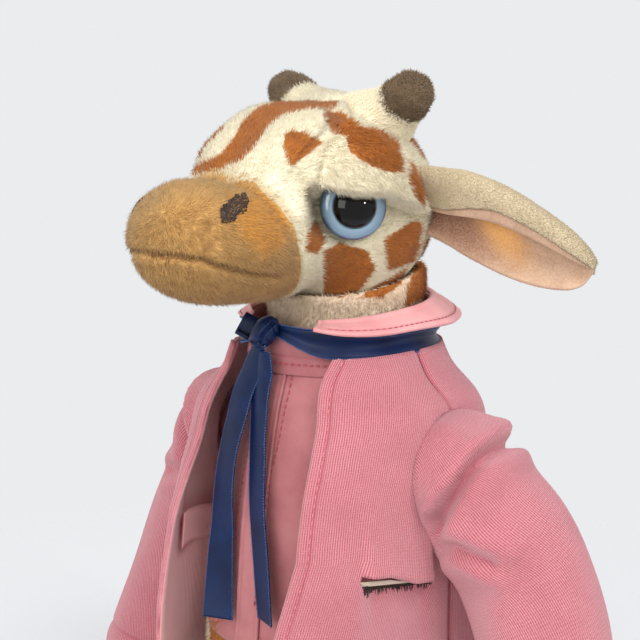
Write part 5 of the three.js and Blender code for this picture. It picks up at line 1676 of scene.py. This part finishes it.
# %% Setting in the sleeves
for side_name, side in SIDES:
    rings, down = sleeve_rings(side)
    lean = 0 if side > 0 else math.radians(-9)
    rings[..., 0] = np.where(side * rings[..., 0] < -3.5, side * -3.5, rings[..., 0])
    turned = rings.copy()
    turned[..., 1] = rings[..., 1] * math.cos(lean) - rings[..., 2] * math.sin(lean)
    turned[..., 2] = rings[..., 1] * math.sin(lean) + rings[..., 2] * math.cos(lean)
    grid = turned + SHOULDER * [side, 1, 1]
    rows, columns = grid.shape[:2]
    normals = grid_normals(grid)
    middle = grid.mean(1, keepdims=True)
    if (normals * (grid - middle)).sum() < 0:
        normals = -normals
    flat, facing = grid.reshape(-1, 3), normals.reshape(-1, 3)
    move = np.zeros(len(flat))
    # groove: painted shade in the creases, along the hem and at the armhole seam.
    groove = np.zeros(len(flat))
    for line, height, width in SLEEVE_FOLDS:
        away = to_line(flat, facing, line, through=line[0][0] > 515)
        move += height * bell(away, width)
        groove = np.maximum(groove, (height < 0) * 0.4 * bell(away, 1.0))
    move += wavy(flat * [1, 1, 0.6], 34, 60 + side) * 0.8
    from_plane = np.abs(flat[:, 0]) - ARM_PLANE
    move *= np.clip(from_plane / 4, 0, 1)
    hem = (SLEEVE_LENGTH - down).ravel()
    move += ridge(hem, 7) * 0.8
    groove = np.maximum(groove, bell(hem - 7.5, 0.7))
    groove = np.maximum(groove, 0.8 * bell(from_plane, 0.8))
    shaped = (flat + facing * move[:, None]).reshape(rows, columns, 3)
    from_arm = np.hypot(grid[..., 1], grid[..., 2] - SHOULDER[2])
    drop = (np.abs(grid[..., 0]) < ARM_PLANE + 0.4) & (from_arm < 15)
    shaped[..., 0] -= side * SLEEVE_TUCK * np.clip(1 - (np.abs(grid[..., 0]) - ARM_PLANE) / 1.5, 0, 1)
    shaped[:, -1] = shaped[:, 0]
    around = np.linspace(0, 2 * math.pi * 20.5, columns)[None].repeat(rows, axis=0)
    uv = np.stack([around + 0.35 * down, down - 0.12 * around], axis=-1)
    piece = sew(side_name + "_jacket_sleeve", shaped, "knit", side_name + "_arm_unit", "pink_knit", 1.8,
        middle.mean((0, 1)), drop, uv, {"groove": groove})
    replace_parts(piece, side_name + "_sleeve")
    hang(piece, "hung")
    ring = np.linspace(0, 2 * math.pi, 61)
    tube = np.stack([np.stack([0 * ring + side * x, SHIRT_CUFF * np.cos(ring),
        SHOULDER[2] + SHIRT_CUFF * np.sin(ring)], axis=1) for x in np.linspace(32.6, 48.4, 12)])
    piece = sew(side_name + "_shirt_sleeve_tube", tube, "shirt", side_name + "_arm_unit", "pink_woven", 1.1,
        np.array([side * 40, 0, SHOULDER[2]]))
    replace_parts(piece, side_name + "_shirt_sleeve")
    hang(piece, "hung")
print("sleeves")

# %% [markdown]
# Under the jacket is a woven shirt with a placket down the front. The collar has two parts: a stand round the
# neck, which laps over itself at the throat, and a fall that turns down over it and ends in a point. Both
# are grids over one neck line, so that the fall keeps to the stand all the way round.

# %% Shirt and collar
SHIRT_HEM = 68
shirt_rows = np.linspace(SHIRT_HEM, TORSO_HEIGHT, 70)
SHIRT_SEAM = math.acos((0.2 / 41.5) ** 1.15)
inner = np.array([0, 0, 110])
for name, first, last, columns in (("left_front", math.pi / 2 - SHIRT_SEAM, SHIRT_SEAM, 70),
        ("right_front", -SHIRT_SEAM, SHIRT_SEAM - math.pi / 2, 70),
        ("back", math.pi - SHIRT_SEAM, math.pi + SHIRT_SEAM, 110)):
    grid = draw_panel(lambda z, turn: torso_row(z, 1.4, turn), shirt_rows, first, last, columns)
    wave = np.minimum(wavy(grid.reshape(-1, 3) * [1, 1, 0.5], 30, 71).reshape(grid.shape[:2]) * 0.25, 0.3)
    grid = pulled(grid, unit(grid) * [1, 1, 0], wave)
    drop = (np.abs(grid[..., 0]) > 20) & (np.hypot(grid[..., 1], grid[..., 2] - SHOULDER[2]) < 15.2)
    from_hem = grid[..., 2] - SHIRT_HEM
    # groove: painted shade along the hem's stitch line.
    piece = sew("shirt_" + name + "_panel", grid, "shirt", "body", "pink_woven", 0.9, inner, drop, None,
                {"groove": bell(from_hem - 5, 0.5)})
    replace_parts(piece, "shirt_" + name)
    hang(piece, "hung")


def torso_front(x, z, offset):
    half, front, _ = smooth_rows(TORSO, np.array([z / TORSO_HEIGHT]))[0] * TORSO_SIZE + offset
    return front * (1 - min(abs(x) / half, 1) ** TORSO_SQUARE) ** (1 / TORSO_SQUARE)


strip = np.array([[(x, -torso_front(x, z, 2.6), z) for x in np.linspace(-5, 5, 21)]
    for z in np.linspace(68.4, 157.6, 90)])
edge = np.minimum(strip[..., 0] + 5, 5 - strip[..., 0])
strip[..., 1] += 0.35 * bell(edge - 1.3, 0.35)
# groove: painted shade along the placket's stitch lines.
placket = sew("placket_strip", strip, "shirt", "body", "pink_woven", 0.8, inner, None, None,
    {"groove": 0.7 * bell(edge - 1.3, 0.4)})
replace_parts(placket, "shirt_placket")
hang(placket, "hung")
print("shirt panels and placket")

# %% Collar
FALL = [(0, 0.9, 0.12), (0.12, 0.95, 0.5), (0.3, 0.95, 0.85), (0.55, 1.1, 0.8), (0.8, 1.15, 0.75),
    (1, 1.1, 0.75)]


def collar_row(z, offset, turn):
    half, front, back = np.multiply(TORSO_SIZE, TORSO[-1][1:])
    return outline(half + offset, front + offset, back + offset, TORSO_SQUARE, turn, z)


STAND_SEAM, STAND_FOOT, STAND_FRONT, STAND_RISE = 163.2, 157.4, 14.5, 5.5


def stand_top(turn):
    return TORSO_HEIGHT + STAND_FRONT + STAND_RISE * (1 - np.cos(turn)) / 2


turns = np.linspace(math.radians(-4), 2 * math.pi + math.radians(4), 200)
lap = 1.3 * np.clip(np.abs(turns / math.pi - 1) * 10 - 9, 0, 1) * (turns < math.pi)
stand = np.stack([collar_row(STAND_FOOT + (stand_top(turns) - STAND_FOOT) * v, 2.0 - 0.4 * v + lap, turns)
    for v in np.linspace(0, 1, 40)])
# The stand's seam is pressed in a little and given painted shade.
seam = bell(stand[..., 2] - STAND_SEAM, 0.4)
stand[..., :2] *= (1 - 0.01 * seam)[..., None]
piece = sew("collar_stand_band", stand, "shirt", "body", "pink_collar", 1.1, np.array([0, 0, 165]),
    values={"groove": seam})
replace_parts(piece, "collar_stand")
hang(piece, "hung")

start = math.radians(12 * 2.4)
turns = np.linspace(start, 2 * math.pi - start, 220)
share = 1 - np.abs(2 * np.linspace(0, 1, 220) - 1)
spread, drop = smooth_rows(FALL, share).T
far_corner = ramp(turns, 4.6, 1.0)
spread, drop = spread * (1 - 0.5 * far_corner), drop + 0.1 * far_corner
room = stand_top(turns) - 169
fall_rows = []
for v in np.linspace(0, 1, 26):
    roll = 1.5 * math.sin(min(v / 0.3, 1) * math.pi) * 0.5
    lift = 2.0 + roll - drop * room * v ** 1.6
    fall_rows.append(collar_row(stand_top(turns) + lift, 0.4 + spread * 9 * v, turns))
fall = np.stack(fall_rows)
from_side = np.linspace(0, 1, 26)[:, None] * np.ones(220)
near_edge = np.minimum((1 - from_side) * 10, share[None] * 90)
fall[..., 2] += 0.5 * np.sin(turns * 5 + 0.8)[None] * from_side ** 2 - 0.3 * bell(near_edge - 2.0, 0.4)
# groove: painted shade along the fall's stitch line.
piece = sew("collar_fall_leaf", fall, "collar", "body", "pink_collar", 1.2, np.array([0, 0, 150]), None, None,
            {"groove": bell(near_edge - 2.0, 0.45)})
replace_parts(piece, "collar_fall")
hang(piece, "folded")
print("collar, stand and fall")

# %% [markdown]
# The ribbon goes round the stand under the fall, is tied in a small knot at the throat and leaves two long
# ends and one tiny loop. A curve with a flat profile would twist at random, so each part is a grid whose
# width, lift and turn follow a table from the knot down. The knot is a lump with the wraps' creases.

# %% Ribbon
turns = np.linspace(0, 2 * math.pi, 240)
band_rows = []
for v in np.linspace(0, 1, 12):
    near = bell(np.abs(turns - math.pi) - math.pi, 0.32)
    crimp = 0.9 + 0.8 * np.cos(v * 2 * math.pi + 0.6 * np.sin(turns * 3))
    from_front = math.pi - np.abs(turns - math.pi)
    width = 6.6 + 2.0 * bell(from_front - 0.6, 0.3) - 2.6 * bell(from_front, 0.3)
    z = 166.1 + 6.2 * np.exp(-from_front / 0.6) + (v - 0.5) * width
    band_rows.append(collar_row(z, 2.6 + crimp + near * 1.2 * math.sin(v * math.pi), turns))
band = np.stack(band_rows)
band += (np.sin(turns * 9)[None] * 0.15)[..., None] * [0, 0, 1]
piece = sew("ribbon_round_neck", band, "satin", "body", "navy_satin", 0.6, np.array([0, 0, 166]))
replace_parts(piece, "ribbon_band")
hang(piece, "gathered")
print("ribbon round the neck")

# %% Knot and loop
KNOT_FOLDS = [([(261, 345), (261, 337), (267, 329), (276, 321)], 0.9, 0.5),
    ([(246, 341), (254, 343), (261, 345), (268, 349)], 1.0, 0.45), ([(262, 338), (272, 344)], 0.5, 0.4),
    ([(272, 322), (275, 328), (277, 336)], 0.6, 0.45), ([(256, 336), (267, 325)], -0.4, 0.9)]
knot = settle(soft_copy("ribbon_knot", 0.35, 5), "satin", "body")
points, _ = read(knot)
middle = points.mean(0)
tilt = math.radians(36)
long_way = TO_RIGHT * math.cos(tilt) + TO_TOP * math.sin(tilt)
short_way = TO_TOP * math.cos(tilt) - TO_RIGHT * math.sin(tilt)
spread = points - middle
points = points + (spread @ long_way * 0.24)[:, None] * long_way
points = points - (spread @ short_way * 0.14)[:, None] * short_way
write(knot, points)
points, normals = read(knot)
sunk = sum(depth * bell(to_line(points, normals, line, None), width) for line, depth, width in KNOT_FOLDS)
write(knot, points - normals * sunk[:, None])
flat_uv(knot)
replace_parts(knot, "ribbon_knot")
loop_turn = np.radians(np.linspace(-20, 320, 60))
low, high = [np.array(v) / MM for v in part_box("ribbon_loop")]
centre, span = (low + high) / 2, (high - low) / 2
back = np.array([math.sin(AZIMUTH), -math.cos(AZIMUTH), 0.0])
slope = unit(TO_RIGHT * 0.8 - TO_TOP * 0.45)
rise = np.cross(back, slope)
loop = np.stack([centre + 1.5 * np.cos(loop_turn)[:, None] * back
    + span[2] * np.sin(loop_turn)[:, None] * rise + v * 2.3 * slope for v in np.linspace(-1, 1, 9)])
piece = sew("ribbon_small_loop", loop, "satin", "body", "navy_satin", 0.6, centre)
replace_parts(piece, "ribbon_loop")
hang(piece, "folded")
print("knot and loop")

# %% Hanging ends
KNOT_FORWARD = 37.85
ENDS = {"left": [(0, 1.5, 4.6, 0, 8), (0.07, 0.4, 7.4, 0, 16), (0.16, -0.9, 9.0, 0, 22),
    (0.27, 0.2, 9.4, 0, 18), (0.38, 1.5, 9.5, 0, 15), (0.56, 3.5, 9.5, 0, 16), (0.785, 7.8, 9.5, 0, 16),
    (1, 11.4, 9.5, 0, 19)],
    "right": [(0, 0.9, 5.4, 0.5, 0), (0.095, 5.2, 8.6, 0.4, -9),
    (0.18, 8.6, 9.6, 0.4, -11), (0.285, 9.6, 10.0, 0.3, -12), (0.4, 10.9, 10.0, 0.3, -13),
    (0.575, 11.6, 10.0, 0.3, -7), (0.7, 11.5, 10.0, 0.3, 2), (0.85, 10.6, 10.2, 0.3, 12),
    (1, 9.4, 10.4, 0.3, 22)]}
TAILS = {"left": (165.2, 83.5), "right": (167, 89.5)}


def ribbon_end(side_name, side, rows=130, columns=19):
    """A hanging end. Its table has the way down, the middle, the width, how far out and how far turned."""
    top, length = TAILS[side_name]
    made = []
    for v in np.linspace(0, 1, rows):
        z = top - v * length
        middle, width, lift, turn = smooth_rows(ENDS[side_name], np.array([v]))[0]
        hug = torso_front(0, z, 3.0)
        forward = max(hug, KNOT_FORWARD + (hug - KNOT_FORWARD) * min(v * 4, 1)) + 0.8 + lift
        across = np.linspace(-0.5, 0.5, columns)
        cup = 0.7 * np.cos(across * math.pi) * math.exp(-v * 2.5) + 0.3 * math.sin(v * 7 + side)
        edge = 0.1 * np.sin(v * 400) * (np.abs(across) > 0.49)
        swing = math.radians(turn) * min(v * 3, 1)
        out = forward + 0.5 + cup + width / 2 * abs(math.sin(swing)) + across * width * math.sin(swing)
        made.append(np.stack([side * (middle + across * width * math.cos(swing)) + edge, -out,
            np.full(columns, z)], axis=1))
    return np.stack(made)


for side_name, side in SIDES:
    piece = sew(side_name + "_ribbon_strip", ribbon_end(side_name, side), "satin",
        side_name + "_ribbon_end", "navy_satin", 0.5, np.array([0, 0, 120]))
    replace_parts(piece, "ribbon_" + side_name + "_tail")
    hang(piece, "hung")
print("two hanging ends")

# %% [markdown]
# Rows of stitches hold the turned edges, the placket and the collar, dark overlock binds the pocket's slit,
# and small loops line the ribbon's edges. A seam drawn in a texture goes flat in a close view, so each
# row is a path over the cloth that the stitch group fills with beads.

# %% Stitching
def rows_above(grid, lift):
    """The same grid, raised from the cloth by a little."""
    normals = grid_normals(grid)
    inside = np.array([0, 0, grid[..., 2].mean()])
    if (normals * (grid - inside)).sum() < 0:
        normals = -normals
    return grid + normals * lift


for side_name, side in SIDES:
    raised = rows_above(front_grids[side_name], 0.1)
    across, along = lengths_of(raised)
    front_line = np.array([[np.interp(4.1, across[j], raised[j, :, k]) for k in range(3)]
        for j in range(4, len(raised) - 1)])
    hem_line = np.array([[np.interp(8.0, along[:, i], raised[:, i, k]) for k in range(3)]
        for i in range(6, raised.shape[1] - 1)])
    stitch(side_name + "_front_stitches", [front_line, hem_line], "pink_thread", "body")
    ends = ribbon_end(side_name, side)
    stitch(side_name + "_ribbon_loops", [ends[:, 0], ends[:, -1]], "satin_edge", side_name + "_ribbon_end",
        0.9, 0.55, 0.6)


def on_shirt(places):
    """The shirt's points that the camera sees at some pixels, on whichever of its pieces is nearer."""
    line = np.array([even_place for start, end in zip(places, places[1:])
        for even_place in np.linspace(start, end, 9)[:-1]])
    found = []
    for place in line:
        hits = [onto(bpy.data.objects[name], [place], 0.25)
            for name in ("placket_strip", "shirt_left_front_panel", "shirt_right_front_panel")]
        hits = [hit[0] for hit in hits if len(hit)]
        if hits:
            found.append(max(hits, key=lambda hit: hit @ TO_CAMERA))
    return np.array(found)


SHIRT_STITCHES = [[(272, 370), (293, 371), (290, 390), (285, 410), (277, 450), (268, 490), (262, 530),
    (258, 570), (254, 608)], [(253, 420), (243, 480), (235, 540), (231, 600)]]
stitch("placket_stitches", [on_shirt(line) for line in SHIRT_STITCHES], "rose_thread", "body",
    2.3, 1.6, 0.5)
level = np.linspace(STAND_FOOT, TORSO_HEIGHT + STAND_FRONT, 40)
neck_seam = rows_above(stand, 0.2)[int(np.abs(level - STAND_SEAM + 2.2).argmin())]
raised = rows_above(fall, 0.1)
edge_line = np.array([[np.interp(0.8, np.linspace(0, 1, len(fall)), raised[:, i, k]) for k in range(3)]
    for i in range(6, fall.shape[1] - 6)])
stitch("collar_stitches", [edge_line], "rose_thread", "body", 2.2, 1.5, 0.42)
stitch("stand_stitches", [neck_seam[:28], neck_seam[-28:]], "rose_thread", "body", 2.0, 1.4,
    0.6)
for side_name, side in SIDES:
    shaped = front_grids[side_name]
    row = int(np.abs(heights - POCKET_LOW).argmin())
    turned = np.degrees(np.arctan2(np.abs(shaped[row][:, 0]), -shaped[row][:, 1]))
    lip = even(shaped[row][np.abs(turned - 63) < 15], 90)
    random = np.random.default_rng(61)
    hairs = [np.array([spot + [0, 0, 0.3], spot - [0, 0, 0.8 + 2.2 * drop_by ** 2]])
        + unit(spot * [1, 1, 0]) * 0.25 for spot, drop_by in zip(lip, random.random(90))]
    stitch(side_name + "_pocket_overlock", hairs, "embroidery", "body", 0.5, 0.7, 0.3)
for name, row in (("upper", band[-1]), ("lower", band[0])):
    stitch("ribbon_band_" + name + "_loops", [row], "satin_edge", "body", 0.75, 0.5, 0.7)
print("stitches")

# %% [markdown]
# The giraffe sits on a pale floor in front of a plain pale backdrop. A curved studio sheet would do, but its
# bend shows in reflections, so the floor fades out with distance and the surroundings do the rest. One
# soft lamp stands high to the camera's right, a broader and lower one to its left lightens the shade, and a
# tiny one gives the eyes their spark.

# %% Floor, backdrop and light
def plain(name, colour):
    def paint(tree):
        haze = noise(tree, 3.0, None, 2.0)
        return mixed(tree, haze.step(0.3, 0.7), linear(*colour), linear(*[v - 3 for v in colour])), haze, None

    return finish(name, paint, 0.95, depth=0.0001, strength=0.02, Specular_IOR_Level=0.1)


FADE_START, FADE_END = 0.2, 0.42


def fading(material):
    """Lets the floor fade into the backdrop with the distance from the toy."""
    tree = material.node_tree
    spot = put(tree, "ShaderNodeVectorMath", "Value", {"operation": "LENGTH"})
    tree.links.new(put(tree, "ShaderNodeTexCoord", "Object").socket, spot.socket.node.inputs[0])
    join(tree, spot.step(FADE_START, FADE_END, 1.0, 0.0), tree.nodes["Principled BSDF"].inputs["Alpha"])
    return material


floor_mesh = bpy.data.meshes.new("floor")
floor_mesh.from_pydata([(-0.6, -0.6, 0), (0.6, -0.6, 0), (0.6, 0.6, 0), (-0.6, 0.6, 0)], [], [(0, 1, 2, 3)])
floor = bpy.data.objects.new("floor", floor_mesh)
floor_mesh.materials.append(fading(plain("pale_floor", (230, 232, 235))))
show(floor)

world = bpy.data.worlds.new("surroundings")
bpy.context.scene.world = world
world.use_nodes = True
tree = world.node_tree
seen_by_eye = put(tree, "ShaderNodeLightPath", "Is Camera Ray")
colour = mixed(tree, seen_by_eye, linear(232, 232, 232), linear(234, 236, 238))
back = tree.nodes["Background"]
join(tree, colour, back.inputs["Color"])
join(tree, seen_by_eye.step(0.0, 1.0, 0.95, 1.0), back.inputs["Strength"])


def soft_light(name, azimuth, elevation, distance, width, power, colour=(1.0, 1.0, 1.0)):
    """A square light aimed at the toy from a direction given as for the camera."""
    a, e = math.radians(azimuth), math.radians(elevation)
    light = bpy.data.lights.new(name, "AREA")
    light.size, light.energy, light.color = width, power, colour
    lamp = bpy.data.objects.new(name, light)
    lamp.location = direction(a, e) * distance + AIM * MM
    lamp.rotation_euler = (math.pi / 2 - e, 0, a)
    show(lamp)


soft_light("key", 74, 48, 1.1, 0.6, 6.3)
soft_light("fill", 10, 20, 1.4, 1.0, 12)
soft_light("spark", 86, 14, 0.9, 0.035, 0.8)
bpy.context.scene.view_settings.view_transform = "Standard"
print("floor, surroundings and three lights")

# %% [markdown]
